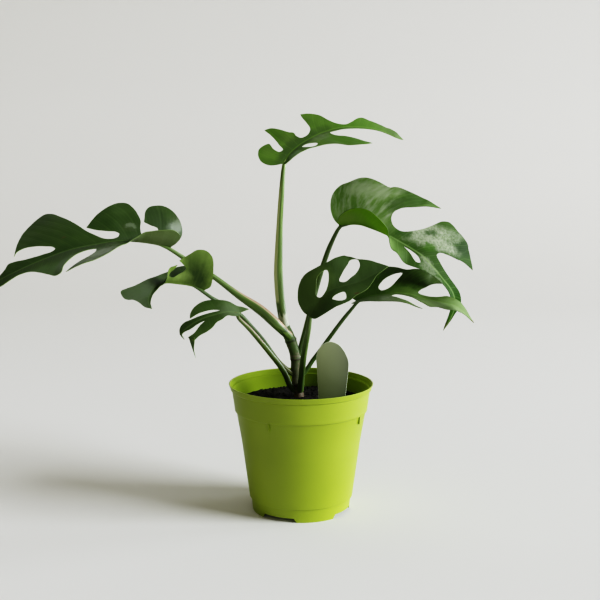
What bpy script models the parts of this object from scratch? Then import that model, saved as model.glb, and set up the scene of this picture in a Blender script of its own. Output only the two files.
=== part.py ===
"""Potted mini monstera in a 12 cm nursery pot, one object for each separate piece.

Metres, +Z up, -Y is the front, origin on the surface under the middle of the whole plant.
Shapes are given in millimetres from the centre of the pot's foot. A leaf is given by its
midrib in space, by how its two halves bend along it, and by its outline in flat leaf
millimetres: s runs along the midrib, t across it.
"""

import math

import bmesh
import bpy
import numpy as np
from mathutils import Matrix, Vector
from mathutils.geometry import delaunay_2d_cdt

for old in list(bpy.data.objects):
    bpy.data.objects.remove(old)

MM = 0.001
POT_AT = (0.05, -0.014, 0.0)
GAP = 0.3
POT_STEPS = 72
FOOT_NOTCHES = 4
NOTCH_HEIGHT = 3.5
NOTCH_AZIMUTH = -27.5
RIB_AZIMUTH = -28.6
SOIL_TOP = 92.5
BLADE_THICKNESS = 0.8
VEIN_RIDGE = 0.7
BLADE_EDGE = 6.0
LABEL_THICKNESS = 0.9


# Materials, one for each sub-part
def material(name, colour, roughness):
    made = bpy.data.materials.new(name)
    made.use_nodes = True
    shader = made.node_tree.nodes["Principled BSDF"]
    shader.inputs["Base Color"].default_value = (*colour, 1.0)
    shader.inputs["Roughness"].default_value = roughness
    return made


def new_object(name, bm, colour, roughness, smooth=40.0):
    """A mesh object from bm, given in millimetres from the pot's foot."""
    bmesh.ops.scale(bm, vec=(MM, MM, MM), verts=bm.verts)
    mesh = bpy.data.meshes.new(name)
    bm.to_mesh(mesh)
    bm.free()
    mesh.materials.append(material(name, colour, roughness))
    mesh.shade_smooth()
    mesh.set_sharp_from_angle(angle=math.radians(smooth))
    made = bpy.data.objects.new(name, mesh)
    made.location = POT_AT
    bpy.context.scene.collection.objects.link(made)
    return made


def as_cutter(made):
    made.hide_render = True
    made.display_type = "WIRE"
    return made


def cut(target, cutter, operation="DIFFERENCE"):
    step = target.modifiers.new(cutter.name, "BOOLEAN")
    step.operation = operation
    step.solver = "EXACT"
    step.object = cutter


# Round pieces: a closed profile of (radius, height) turned about the pot's axis
def turned(profile, steps):
    bm = bmesh.new()
    points = [bm.verts.new((r, 0.0, z)) for r, z in profile]
    edges = [bm.edges.new((a, b)) for a, b in zip(points, points[1:])]
    bmesh.ops.spin(
        bm,
        geom=points + edges,
        cent=(0.0, 0.0, 0.0),
        axis=(0.0, 0.0, 1.0),
        angle=math.tau,
        steps=steps,
        use_merge=True,
    )
    bmesh.ops.remove_doubles(bm, verts=bm.verts, dist=0.001)
    bmesh.ops.recalc_face_normals(bm, faces=bm.faces)
    return bm


def wedge(azimuth, radius, height, size, top_size):
    """A box across the radius at this azimuth from the front, its upper face narrower."""
    bm = bmesh.new()
    bmesh.ops.create_cube(bm, size=1.0)
    for vert in bm.verts:
        wide, deep = top_size if vert.co.z > 0 else size[:2]
        vert.co.x *= wide
        vert.co.y *= deep
        vert.co.z = height + size[2] * (vert.co.z + 0.5)
    bmesh.ops.translate(bm, vec=(0.0, -radius, 0.0), verts=bm.verts)
    turn = Matrix.Rotation(math.radians(azimuth), 3, "Z")
    bmesh.ops.rotate(bm, cent=(0.0, 0.0, 0.0), matrix=turn, verts=bm.verts)
    return bm


# Smooth curves through hand-picked points
def curve_through(points, count):
    """Points evenly along a rounded curve through the given ones, and their distances."""
    given = np.array(points, float)
    given = np.vstack([2 * given[0] - given[1], given, 2 * given[-1] - given[-2]])
    fine = []
    for p0, p1, p2, p3 in zip(given, given[1:], given[2:], given[3:]):
        t1 = math.sqrt(np.linalg.norm(p1 - p0))
        t2 = t1 + math.sqrt(np.linalg.norm(p2 - p1))
        t3 = t2 + math.sqrt(np.linalg.norm(p3 - p2))
        t = np.linspace(t1, t2, 24, endpoint=False)[:, None]
        a1 = (t1 - t) / t1 * p0 + t / t1 * p1
        a2 = (t2 - t) / (t2 - t1) * p1 + (t - t1) / (t2 - t1) * p2
        a3 = (t3 - t) / (t3 - t2) * p2 + (t - t2) / (t3 - t2) * p3
        b1 = (t2 - t) / t2 * a1 + t / t2 * a2
        b2 = (t3 - t) / (t3 - t1) * a2 + (t - t1) / (t3 - t1) * a3
        fine.append((t2 - t) / (t2 - t1) * b1 + (t - t1) / (t2 - t1) * b2)
    fine = np.vstack([*fine, given[-2][None]])
    lengths = np.r_[0, np.cumsum(np.linalg.norm(np.diff(fine, axis=0), axis=1))]
    stations = np.linspace(0, lengths[-1], count)
    return np.stack([np.interp(stations, lengths, fine[:, k]) for k in range(3)], 1), stations


def rounded(points, steps):
    """A closed outline through (s, t) points. A third value of 1 marks a sharp corner."""
    at = np.array([p[:2] for p in points], float)
    sharp = [len(p) > 2 for p in points]
    count = len(at)
    outline = []
    for i in range(count):
        j = (i + 1) % count
        reach = at[j] - at[i]
        far = np.linalg.norm(reach)
        slopes = []
        for k in (i, j):
            back = at[k] - at[k - 1]
            ahead = at[(k + 1) % count] - at[k]
            near_size, far_size = np.linalg.norm(back), np.linalg.norm(ahead)
            mean = (back / near_size * far_size + ahead / far_size * near_size) / (near_size + far_size)
            slopes.append(reach if sharp[k] else mean * far)
        for u in np.arange(steps) / steps:
            outline.append(
                (2 * u**3 - 3 * u**2 + 1) * at[i]
                + (u**3 - 2 * u**2 + u) * slopes[0]
                + (3 * u**2 - 2 * u**3) * at[j]
                + (u**3 - u**2) * slopes[1]
            )
    return outline


# Stems: a round tube of changing radius, closed at both ends
def tube(points, radii, sides=10, step=6.0):
    path, stations = curve_through(points, 200)
    rings = max(3, round(stations[-1] / step))
    path, stations = curve_through(points, rings + 1)
    given = np.linspace(0, stations[-1], len(radii))
    sizes = np.interp(stations, given, radii)
    tangents = np.gradient(path, axis=0)
    tangents /= np.linalg.norm(tangents, axis=1)[:, None]
    side = np.cross(tangents[0], (0.0, 1.0, 0.2))
    bm = bmesh.new()
    loops = []
    for centre, tangent, size in zip(path, tangents, sizes):
        side = side - (side @ tangent) * tangent
        side /= np.linalg.norm(side)
        other = np.cross(tangent, side)
        angles = np.arange(sides) * math.tau / sides
        ring = [bm.verts.new(centre + size * (math.cos(a) * side + math.sin(a) * other)) for a in angles]
        loops.append([bm.edges.new((ring[k - 1], ring[k])) for k in range(sides)])
    for a, b in zip(loops, loops[1:]):
        bmesh.ops.bridge_loops(bm, edges=a + b)
    bmesh.ops.holes_fill(bm, edges=bm.edges, sides=0)
    bmesh.ops.recalc_face_normals(bm, faces=bm.faces)
    return bm


# Leaf blades: a flat sheet cut to the outline, then bent along the midrib
def distances(points, loop):
    """How far each point is from a closed loop, negative where the loop holds it."""
    start = np.array(loop)
    along = np.roll(start, -1, axis=0) - start
    reach = points[:, None] - start[None]
    share = np.clip((reach * along).sum(-1) / (along**2).sum(-1), 0, 1)
    far = np.linalg.norm(reach - share[..., None] * along, axis=-1).min(axis=1)
    above = points[:, None, 1] < start[None, :, 1]
    above_end = points[:, None, 1] < (start + along)[None, :, 1]
    slope = np.where(along[:, 1] == 0, 1e-9, along[:, 1])
    crossing = start[:, 0] + reach[..., 1] / slope * along[:, 0]
    inside = ((above != above_end) & (points[:, None, 0] < crossing)).sum(axis=1) % 2 == 1
    return np.where(inside, -far, far)


def flat_sheet(outline, holes, edge):
    """A triangulated flat slab, one unit thick, with edges along the midrib."""
    loops = [rounded(loop, 2) for loop in (outline, *holes)]
    low, high = np.min(loops[0], axis=0), np.max(loops[0], axis=0)
    rows = np.arange(math.floor(low[1] / edge), math.ceil(high[1] / edge) + 1)
    stations = np.arange(low[0], high[0], edge)
    grid = np.array([(x + edge / 2 * (row % 2), row * edge) for row in rows for x in stations])
    rib = np.array([(x, 0.0) for x in np.arange(edge, high[0] - edge, edge)])
    grid = np.vstack([grid[np.abs(grid[:, 1]) > edge / 2], rib])
    room = distances(grid, loops[0])
    for loop in loops[1:]:
        room = np.maximum(room, -distances(grid, loop))
    points = [tuple(point) for loop in loops for point in loop]
    edges = []
    for loop in loops:
        first = len(edges)
        edges += [(first + k, first + (k + 1) % len(loop)) for k in range(len(loop))]
    points += [tuple(point) for point in grid[room < -0.45 * edge]]
    points, _, faces, *_ = delaunay_2d_cdt([Vector(point) for point in points], edges, [], 0, 0.001)
    flat = np.array(points)
    centres = np.array([flat[list(face)].mean(axis=0) for face in faces])
    room = distances(centres, loops[0])
    for loop in loops[1:]:
        room = np.maximum(room, -distances(centres, loop))
    bm = bmesh.new()
    verts = [bm.verts.new((point[0], point[1], 0.0)) for point in points]
    for face, depth in zip(faces, room):
        if depth < 0:
            bm.faces.new([verts[k] for k in face])
    bmesh.ops.delete(bm, geom=[v for v in bm.verts if not v.link_faces], context="VERTS")
    if sum(face.normal.z for face in bm.faces) < 0:
        bmesh.ops.reverse_faces(bm, faces=bm.faces)
    raised = bmesh.ops.extrude_face_region(bm, geom=list(bm.faces), use_keep_orig=True)
    top = [v for v in raised["geom"] if isinstance(v, bmesh.types.BMVert)]
    bmesh.ops.translate(bm, vec=(0.0, 0.0, 1.0), verts=top)
    bmesh.ops.recalc_face_normals(bm, faces=bm.faces)
    return bm


def leaf_surface(midrib, bends, s, t):
    """Points of the bent sheet. A row of bends is s, roll, then fold and curl of each half."""
    path, stations = curve_through(midrib, 400)
    tangents = np.gradient(path, stations, axis=0)
    tangents /= np.linalg.norm(tangents, axis=1)[:, None]
    uprights = np.zeros_like(tangents)
    up = np.array((0.0, 0.0, 1.0))
    for k, tangent in enumerate(tangents):
        up = up - (up @ tangent) * tangent
        up /= np.linalg.norm(up)
        uprights[k] = up
    within = np.clip(s, 0, stations[-1])
    centre, tangent, upright = [
        np.stack([np.interp(within, stations, field[:, k]) for k in range(3)], 1)
        for field in (path, tangents, uprights)
    ]
    centre = centre + tangent * (s - within)[:, None]
    rows = np.array(bends, float)
    place = np.clip(s, rows[0, 0], rows[-1, 0])
    row = np.clip(np.searchsorted(rows[:, 0], place, side="right") - 1, 0, len(rows) - 2)
    share = (place - rows[row, 0]) / (rows[row + 1, 0] - rows[row, 0])
    share = share * share * (3 - 2 * share)
    now = rows[row] * (1 - share)[:, None] + rows[row + 1] * share[:, None]
    roll = np.radians(now[:, 1])
    right = t >= 0
    fold = np.radians(np.where(right, now[:, 4], now[:, 2]))
    curl = np.radians(np.where(right, now[:, 5], now[:, 3])) / 10
    curl = np.where(np.abs(curl) < 1e-6, 1e-6, curl)
    out = np.abs(t)
    across = (np.sin(fold + curl * out) - np.sin(fold)) / curl * np.where(right, 1, -1)
    above = (np.cos(fold) - np.cos(fold + curl * out)) / curl
    level = np.cross(tangent, upright)
    sideways = level * np.cos(roll)[:, None] - upright * np.sin(roll)[:, None]
    normal = upright * np.cos(roll)[:, None] + level * np.sin(roll)[:, None]
    return centre + sideways * across[:, None] + normal * above[:, None]


def bend(bm, midrib, bends, thickness, ridge):
    flat = np.array([v.co for v in bm.verts])
    s, t, upper = flat[:, 0], flat[:, 1], flat[:, 2] > 0.5
    step = 0.4
    middle = leaf_surface(midrib, bends, s, t)
    ds = leaf_surface(midrib, bends, s + step, t) - leaf_surface(midrib, bends, s - step, t)
    dt = leaf_surface(midrib, bends, s, t + step) - leaf_surface(midrib, bends, s, t - step)
    normal = np.cross(dt, ds)
    normal /= np.linalg.norm(normal, axis=1)[:, None]
    length = flat[:, 0].max()
    vein = ridge * np.exp(-((t / 1.2) ** 2)) * np.clip(1 - s / length, 0, 1)
    lift = np.where(upper, thickness / 2, -thickness / 2 - vein)
    for vert, place in zip(bm.verts, middle + normal * lift[:, None]):
        vert.co = place
    bmesh.ops.reverse_faces(bm, faces=bm.faces)
    return bm


# Pot: one thin moulded shell with a flared lip, a band, a tapered wall and a stepped foot
outer = [(40.6, 0.0), (41.8, 11.0), (43.1, 11.4), (49.5, 59.0), (53.8, 84.2), (55.1, 84.8), (55.3, 87.0)]
outer += [(55.7, 90.0), (56.1, 93.0), (56.8, 97.0), (57.5, 101.5), (58.9, 104.4), (60.0, 107.0)]
inner = [(58.8, 107.0), (57.7, 104.8), (56.3, 101.5), (55.5, 96.0), (54.9, 92.0), (54.1, 86.6), (52.6, 85.4)]
inner += [(48.3, 59.0), (42.0, 12.6), (40.6, 12.0), (40.2, 6.0), (0.0, 5.6)]
under = [(0.0, 4.0), (39.4, 4.0), (39.2, 0.0)]
pot = new_object("pot", turned(outer + inner + under + outer[:1], POT_STEPS), (0.42, 0.62, 0.05), 0.4, 28.0)
for turn in range(FOOT_NOTCHES):
    azimuth = NOTCH_AZIMUTH + 90 * turn
    notch = new_object(
        f"notch_{turn}", wedge(azimuth, 41.0, -1.0, (32.0, 10.0, NOTCH_HEIGHT + 1.0), (27.0, 10.0)), (1, 1, 1), 0.5
    )
    cut(pot, as_cutter(notch))
    rib = new_object(
        f"rib_{turn}", wedge(RIB_AZIMUTH + 90 * turn, 53.6, 78.4, (1.3, 1.6, 6.2), (1.3, 2.6)), (1, 1, 1), 0.5
    )
    cut(pot, as_cutter(rib), "UNION")

# Stem: a short leaning stem with two node rings, its root crown set in the soil
STEM_PATH = [(0.0, 9.5, 80.0), (-1.5, 9.5, 93.0), (-3.4, 9.3, 104.0), (-4.2, 9.0, 116.0)]
STEM_PATH += [(-5.0, 9.0, 128.0), (-8.4, 9.0, 140.5), (-13.5, 9.0, 152.0)]
STEM_RADII = [5.0, 5.0, 4.2, 4.0, 4.3, 3.8, 4.2, 4.0, 4.2, 4.4, 4.6, 4.6, 4.4]
new_object("stem", tube(STEM_PATH, STEM_RADII, 14, 3.0), (0.2, 0.22, 0.07), 0.6)
stem_room = as_cutter(
    new_object("stem_room", tube(STEM_PATH, [r + GAP for r in STEM_RADII], 14, 3.0), (1, 1, 1), 0.5)
)

# Label: a thin round-topped tag pushed into the soil in front of the stem
label_outline = [(-11.0, -22.0), (-10.8, 0.0), (-12.0, 24.0), (-12.8, 33.0), (-12.0, 38.5), (-9.5, 43.0)]
label_outline += [(-5.5, 46.3), (-1.5, 47.4), (2.5, 46.5), (6.5, 44.2), (10.4, 39.0), (13.3, 32.5), (13.8, 28.0), (13.3, 21.5)]
label_outline += [(11.2, 2.0), (10.4, -22.0)]


def label_sheet(margin):
    bm = bmesh.new()
    wide = [(x + math.copysign(margin, x), z + (margin if z > 0 else -margin)) for x, z in label_outline]
    face = bm.faces.new([bm.verts.new((x, 0.0, z)) for x, z in wide])
    thick = LABEL_THICKNESS + 2 * margin
    raised = bmesh.ops.extrude_face_region(bm, geom=[face], use_keep_orig=True)
    moved = [v for v in raised["geom"] if isinstance(v, bmesh.types.BMVert)]
    bmesh.ops.translate(bm, vec=(0.0, thick, 0.0), verts=moved)
    bmesh.ops.translate(bm, vec=(25.0, -19.0 - thick / 2, 98.0), verts=bm.verts)
    bmesh.ops.recalc_face_normals(bm, faces=bm.faces)
    return bm


new_object("plant_label", label_sheet(0.0), (0.32, 0.38, 0.3), 0.5)
label_room = as_cutter(new_object("label_room", label_sheet(GAP), (1, 1, 1), 0.5))

# Soil: fills the pot, with plain holes for the stem and the label
soil_profile = [(0.0, 6.0), (39.6, 6.4), (40.0, 12.4), (41.5, 13.2), (47.9, 59.5), (52.1, 85.4), (53.3, 87.0)]
soil_profile += [(54.0, SOIL_TOP - 1.5), (50.0, SOIL_TOP - 0.6), (34.0, SOIL_TOP), (17.0, SOIL_TOP + 0.6), (0.0, SOIL_TOP + 0.4)]
soil = new_object("soil", turned(soil_profile, 56), (0.012, 0.011, 0.01), 0.95)
cut(soil, stem_room)
cut(soil, label_room)


# Leaves: for each the midrib, the bends, the outline, the holes and the petiole with its radii
LEAVES = {
    # Large leaf at the upper left
    "leaf_1": (
        [(-105.5, -10, 221), (-121, -15, 225), (-136.5, -20, 227), (-147.5, -24, 227), (-159, -28, 225.5),
         (-181, -35, 221.5), (-203.5, -42, 213.5), (-221.5, -48, 205.5), (-243, -53, 194.5)],
        [(-10, -10, 60, 6, 52, -6), (22, -12, 50, 6, 44, -5), (40, -14, 6, 0, 36, -4), (70, -18, -6, 5, 22, -3),
         (110, -26, 0, 0, 8, -2), (160, -26, 0, 0, 2, 0)],
        [(0, 0, 1), (-5, 5), (-8.5, 12), (-8.5, 20), (-5, 30), (1, 38), (9, 41.5), (16, 38.5), (20, 32), (21, 25),
         (21.5, 19.5, 1), (16.5, 17), (11.5, 15), (11, 12), (15, 7), (19.5, 5), (23, 6), (24.5, 12), (24, 20),
         (26, 28), (29, 36), (32.5, 41.3), (36.5, 42), (42, 39), (49.5, 33.5), (58, 26.5), (63.5, 20.5, 1),
         (58, 16), (48, 11), (42.5, 9.3), (40.5, 7.5), (41.5, 4.5), (44.5, 3), (49, 3), (53, 4.5), (59, 10),
         (64.5, 16.5), (68, 23), (73.5, 33), (79, 43), (83.5, 51), (87.5, 54), (92, 52.5), (100, 47.5),
         (106, 42.5), (112, 34), (116, 27.5), (121.5, 17, 1), (117.5, 21), (111, 21.5), (104, 18.5), (97, 13.5),
         (91.5, 8.5), (91, 6), (94, 4.5), (99.5, 5), (115, 8), (123, 11), (128, 12), (132.5, 8), (138, 4.5),
         (144, 3), (151, 0, 1), (146, -5), (140.5, -8.5), (132, -7), (123.5, -6), (116, -8.5), (109.5, -15),
         (104, -22), (99, -28), (95.5, -28), (90.5, -20), (83.5, -13.5), (74, -8), (66, -6.5), (61.5, -7.5),
         (62, -11), (69, -18), (78, -24), (91, -30.5, 1), (80, -31), (70, -30), (61, -27), (53, -23),
         (45, -16.5), (39, -11.5), (32, -9.5), (23, -13), (12, -17), (2, -18), (-4.5, -13), (-3.5, -6)],
        [],
        [(-105, -9.9, 220.2), (-96, -7, 212.5), (-84, -4, 204), (-71.5, -2, 196), (-51.5, 0, 180.4),
         (-32.5, -0.5, 166.9), (-20.5, -0.5, 156), (-9, 4, 144.6)],
        [1.5, 1.9, 2.1, 2.4, 3.0, 3.7, 3.9, 3.6],
    ),
    # Curled leaf at the middle left
    "leaf_2": (
        [(-77.5, -24, 188), (-87, -26, 192), (-97.5, -29, 194), (-107.5, -33, 195), (-114.5, -38, 192.5),
         (-118.5, -42, 186), (-119, -44, 180.5), (-117, -45, 177)],
        [(-8, -40, 115, 5, 5, 0), (20, -40, 115, 5, 3, 0), (30, -42, 100, 4, 0, 0), (38, -48, 50, 0, 2, 0),
         (46, -55, 20, 0, 0, 0), (62, -55, 10, 0, 0, 0)],
        [(0, 0, 1), (-3.5, -4), (-3, -10), (-1, -17), (2.5, -24), (6, -28.5), (9.5, -30.5), (12.5, -29.5),
         (16, -25.5), (20, -22), (24.5, -19.5, 1), (20, -16), (17.5, -13), (19.5, -10), (23.5, -7.5),
         (27.5, -5.2), (30, -6.5), (29.8, -10.5), (27.5, -13.5), (25.5, -16.5, 1), (31, -15), (34, -11),
         (36.5, -6), (41, -4), (46.5, -2.5), (52, -2), (56, -1.5), (61.5, 0, 1), (58, 3.5), (55.5, 7),
         (54.2, 12), (54.3, 16), (53.8, 19.5), (52, 22.5), (50.5, 19), (48, 14), (43, 9.5), (37, 7.5),
         (30, 10), (24, 15), (15, 19), (6, 19), (-1, 16), (-4, 10), (-3, 4)],
        [],
        [(-77, -24, 187), (-70.5, -23, 181), (-59.5, -19, 174), (-48.8, -14, 165.8), (-40.8, -9, 156),
         (-31, -3, 143), (-19.8, 3, 125.5), (-13.8, 6, 118.5), (-5.5, 9, 111.5)],
        [1.4, 1.7, 1.8, 1.9, 2.0, 2.1, 2.3],
    ),
    # Small leaf at the lower left
    "leaf_3": (
        [(-49, -36, 171.5), (-57.5, -40, 173), (-66.5, -43, 171.5), (-76, -46, 169), (-83.5, -48, 165.5),
         (-90.5, -50, 160.5), (-93.5, -51, 157), (-93.5, -51, 153.5)],
        [(-8, -38, 4, -3, 0, -4), (20, -38, 4, -4, 0, -4), (42, -36, 0, -14, 0, -6), (75, -30, 0, -14, 0, -6)],
        [(0, 0, 1), (-4, 2), (-10, 5.5, 1), (-5, 7), (0, 8), (6, 11.8), (12.5, 14.3), (19, 16.7), (25.5, 17),
         (33, 14), (37, 9.5), (38.5, 6, 1), (33, 6.5), (26, 6.3), (18.5, 5), (15, 3.2), (23, 3), (31.5, 3.5),
         (39, 4.6), (44, 6), (48, 5), (51, 2), (55.5, -3.5, 1), (50.5, -1), (43.5, -3), (34, -2.8),
         (29.5, -3), (35, -5.2), (42.5, -8), (52, -7.5), (59, -10), (69, -14, 1), (62, -12.5), (55.5, -13),
         (47, -13), (39, -12.5), (32, -13), (26, -11.5), (21, -8), (16, -6.5), (11, -4), (6, -4.5), (0, -3)],
        [],
        [(-49, -35.5, 170.3), (-49.5, -33.5, 167), (-42, -28.5, 158.3), (-33, -21, 146), (-24.7, -14, 134),
         (-17.5, -7, 123), (-12.8, -1, 113.8), (-9.5, 4, 104.5), (-6, 8, 98.5)],
        [1.4, 2.0, 2.2, 2.3, 2.4, 2.5],
    ),
    # Top leaf
    "leaf_4": (
        [(-14, 4, 288), (-9, 12, 295.5), (-1.5, 22, 302), (8.5, 32, 308), (18.5, 42, 312.5), (37.5, 56, 317),
         (64, 70, 315.5), (88.5, 82, 306.5)],
        [(0, 24, 8, -2, 26, 0), (20, 23, 8, -2, 21, 0), (35, 23, 8, -2, 16, 0), (55, 22, 8, -1, 9, 0),
         (110, 20, 4, 0, 4, 0), (140, 20, 0, 0, 0, 0)],
        [(0, 0, 1), (-5, -4), (-8.5, -9), (-8.5, -16), (-3.5, -21.5), (2.5, -23.5), (8, -22), (11, -19.5),
         (8.8, -13.5), (8.5, -8), (11.5, -6.5), (15, -12.5), (19, -22), (21, -31.5, 1), (25, -29.5),
         (28.5, -23), (31.5, -15.5), (33.5, -13), (32.5, -8.5), (34, -5), (38, -4), (46, -6), (50, -9),
         (52.5, -16), (54, -24), (55, -27.5, 1), (62, -25), (68, -20), (71.5, -11.5), (75, -6.5), (82, -3.5),
         (91, -7.5), (99.5, -14), (104, -16), (110.5, -13), (118, -12), (127, -12), (132, -14), (137, -13),
         (139.5, -6), (141, 0, 1), (134, 1.8), (124, 2.2), (110, 2.8), (98, 3.2), (84, 3.5), (68, 3.5), (61, 3.8),
         (61, 10), (68, 16), (74, 22.5), (81, 30), (89, 33.5, 1), (79, 35.5), (70, 35), (60, 32.5),
         (50, 27), (42, 20.5), (34, 16.4), (26, 13.6), (16, 9.5), (8, 6.6), (2, 4.2), (-1.5, 2)],
        [[(24, 4.5), (32, 5), (37, 11), (33, 13.5), (27, 11.5)]],
        [(-14, 3.5, 286.5), (-16.2, 4, 258), (-17.9, 5.5, 225.5), (-18.6, 7.5, 197), (-17.3, 10, 176),
         (-15.5, 11, 163), (-13.2, 9.5, 151)],
        [1.6, 2.2, 2.5, 3.1, 3.7, 3.8, 4.0],
    ),
    # Variegated leaf at the upper right with a long drooping tip
    "leaf_5": (
        [(31.5, 14, 237), (47, 11, 238), (60, 8, 234), (70.5, 6, 229.5), (80, 4, 224.5), (90.5, 2, 218.5),
         (99.5, 0, 212.5), (107, -1, 204.5), (116, -1, 194), (124, 1, 183.5), (127, 3, 173.5),
         (124.5, 5, 161.5), (118.5, 7, 150)],
        [(-8, 20, 42, -5, 42, 0), (22, 20, 46, -5, 46, 4), (40, 22, 44, -5, 22, 18), (54, 24, 36, -4, -8, 8),
         (68, 28, 24, -3, -22, 0), (82, 30, 20, -3, -15, 0), (110, 28, 14, -2, 0, 0), (130, 48, 8, 0, 0, 0),
         (152, 80, 4, 0, 2, 0)],
        [(0, 0, 1), (-3, -3), (-7, -12), (-8, -20), (-6, -32), (-0.5, -39.5), (8, -41.5), (15, -46),
         (20, -43.5), (26, -41.5), (33, -45), (42, -46), (50, -48), (57, -49.5), (66, -52.5, 1), (59.5, -45),
         (48, -34), (41.5, -27), (38, -20), (38.5, -14.5), (42.5, -9.5), (49, -8.5), (56, -12.5), (62, -19.5),
         (68.5, -32), (72.5, -42), (75, -45), (81, -45), (89, -46), (98, -46.5), (106, -44.5), (111, -39),
         (114, -33.5, 1), (101, -26.5), (89, -19), (83, -14), (82.5, -11), (89.5, -8.2), (101, -6.5),
         (110, -6), (119, -7), (127, -6), (134, -2.5), (151, 0, 1), (140, 3), (127, 5), (113, 5), (101, 4.5),
         (93, 6), (86, 8.5), (80, 12), (72, 14.5), (64, 15.5), (56, 15.5), (49, 17.5), (41, 23), (32, 28),
         (22, 30), (12, 27), (4, 19), (0.5, 10), (-0.5, 4)],
        [[(58, 2.5), (65, 4.5), (76, 8), (77.5, 6.5), (74, 3.5), (65, 1.8)]],
        [(31, 14, 236), (25, 14, 222), (18.5, 13, 204.5), (12.5, 12, 184), (6.8, 11.5, 162), (2.2, 11, 144),
         (-1.5, 10.3, 131), (-5, 9.5, 125)],
        [1.5, 2.2, 2.3, 2.3, 2.4, 2.6],
    ),
    # Leaf at the lower right
    "leaf_6": (
        [(45.5, 4, 175), (55, 2, 178.5), (65, 0, 180.5), (81, -3, 182.5), (90.5, -5, 181.5), (100, -7, 178.5),
         (113, -9, 176), (126, -11, 173), (140, -13, 160)],
        [(0, 20, 30, -6, 18, 0), (40, 20, 28, -6, 14, 0), (70, 16, 18, -3, 6, 0), (120, 14, 0, 0, 0, 0)],
        [(0, 0, 1), (-4, -6), (-5, -14), (-1, -22), (7, -28), (16, -31), (26, -32), (34, -29.5), (39.5, -26.5),
         (44.5, -29.5), (52, -31.5), (61, -32), (70.5, -24.5, 1), (64, -21.5), (56.5, -14), (52, -8), (51, -4),
         (57, -3.5), (67, -5), (75, -8.5), (82, -8), (90, -6), (104, 0, 1), (94, 2.5), (86.5, 8.5),
         (77.5, 14.5), (69, 13), (63, 16), (58.5, 12), (51, 8), (41.5, 6), (33, 4), (31, 7), (37, 15.5),
         (47, 22), (58.5, 25.5, 1), (47, 28), (31.5, 27), (16, 22), (5, 14), (-3, 7)],
        [[(37, -22.5), (34, -13), (27.5, -5.5), (21.5, -4.5), (19.5, -7.5), (22.5, -14), (29.5, -20)]],
        [(45, 4.2, 174), (41.8, 6, 167.8), (34.3, 8.5, 158), (22.3, 10.5, 141), (15, 10.5, 130.7), (9.6, 10, 123.5),
         (5, 9.2, 116.5), (-2.5, 9.2, 107)],
        [1.3, 1.7, 1.8, 1.9, 2.0, 2.2],
    ),
    # Front leaf at the right, standing up and facing forward
    "leaf_7": (
        [(6.5, -30, 168), (13.5, -31, 179.5), (22, -31, 188), (33, -30, 192), (47, -27, 195.5), (59, -23, 201),
         (69.5, -18, 206)],
        [(0, 58, 6, -3, 0, -3), (30, 58, 6, -3, 0, -3), (60, 52, 6, -3, 4, -3), (110, 45, 0, 0, 0, 0)],
        [(0, 0, 1), (-0.5, -5), (3.5, -15), (8.5, -19.8), (14, -24), (20.5, -26), (26, -24.6), (33, -25.5),
         (42, -28), (51, -28.5), (58, -25.5), (63, -19.5), (70, -14), (75, -7), (79.5, 0, 1), (73, 1), (67, 2),
         (60, 6), (53, 10), (46, 11.5), (39, 14.5), (30, 15.5), (16, 13.5), (7, 10), (0.5, 5)],
        [[(29.5, -19), (29, -9), (23.5, -1.5), (17, -1.2), (16, -3.5), (20.5, -10), (26.5, -18)],
         [(61, -20), (60.5, -14.5), (53, -10), (44, -6.5), (38.5, -3), (36, -4.5), (39.5, -10.5), (48, -17.5),
          (57, -22)],
         [(37, 5.5), (30.5, 5.5), (24.5, 7.5), (29, 11), (36, 12)]],
        [(6.3, -30.3, 167.5), (6, -27.5, 157), (3.8, -21, 143.5), (1.8, -13, 128.8), (0.6, -5, 114), (-0.5, 6, 99)],
        [1.6, 2.2, 2.4, 2.5, 2.6, 2.8],
    ),
}

for name, (midrib, bends, outline, holes, stalk, radii) in LEAVES.items():
    sheet = flat_sheet(outline, holes, BLADE_EDGE)
    blade = bend(sheet.copy(), midrib, bends, BLADE_THICKNESS, VEIN_RIDGE)
    new_object(f"{name}_blade", blade, (0.06, 0.17, 0.03), 0.35, 60.0)
    thicker = bend(sheet, midrib, bends, BLADE_THICKNESS + 2 * GAP, VEIN_RIDGE)
    room = as_cutter(new_object(f"{name}_room", thicker, (1, 1, 1), 0.5))
    petiole = new_object(f"{name}_petiole", tube(stalk, radii), (0.28, 0.42, 0.12), 0.4)
    cut(petiole, stem_room)
    cut(petiole, room)
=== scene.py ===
"""Potted mini monstera in a lime nursery pot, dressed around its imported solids.

Metres, +Z up, -Y is the front. Shapes are made in millimetres from the centre of the
pot's foot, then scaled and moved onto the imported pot.
"""

import math

import bmesh
import bpy
import numpy as np
from mathutils import Matrix, Vector, noise
from mathutils.geometry import delaunay_2d_cdt


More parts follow.
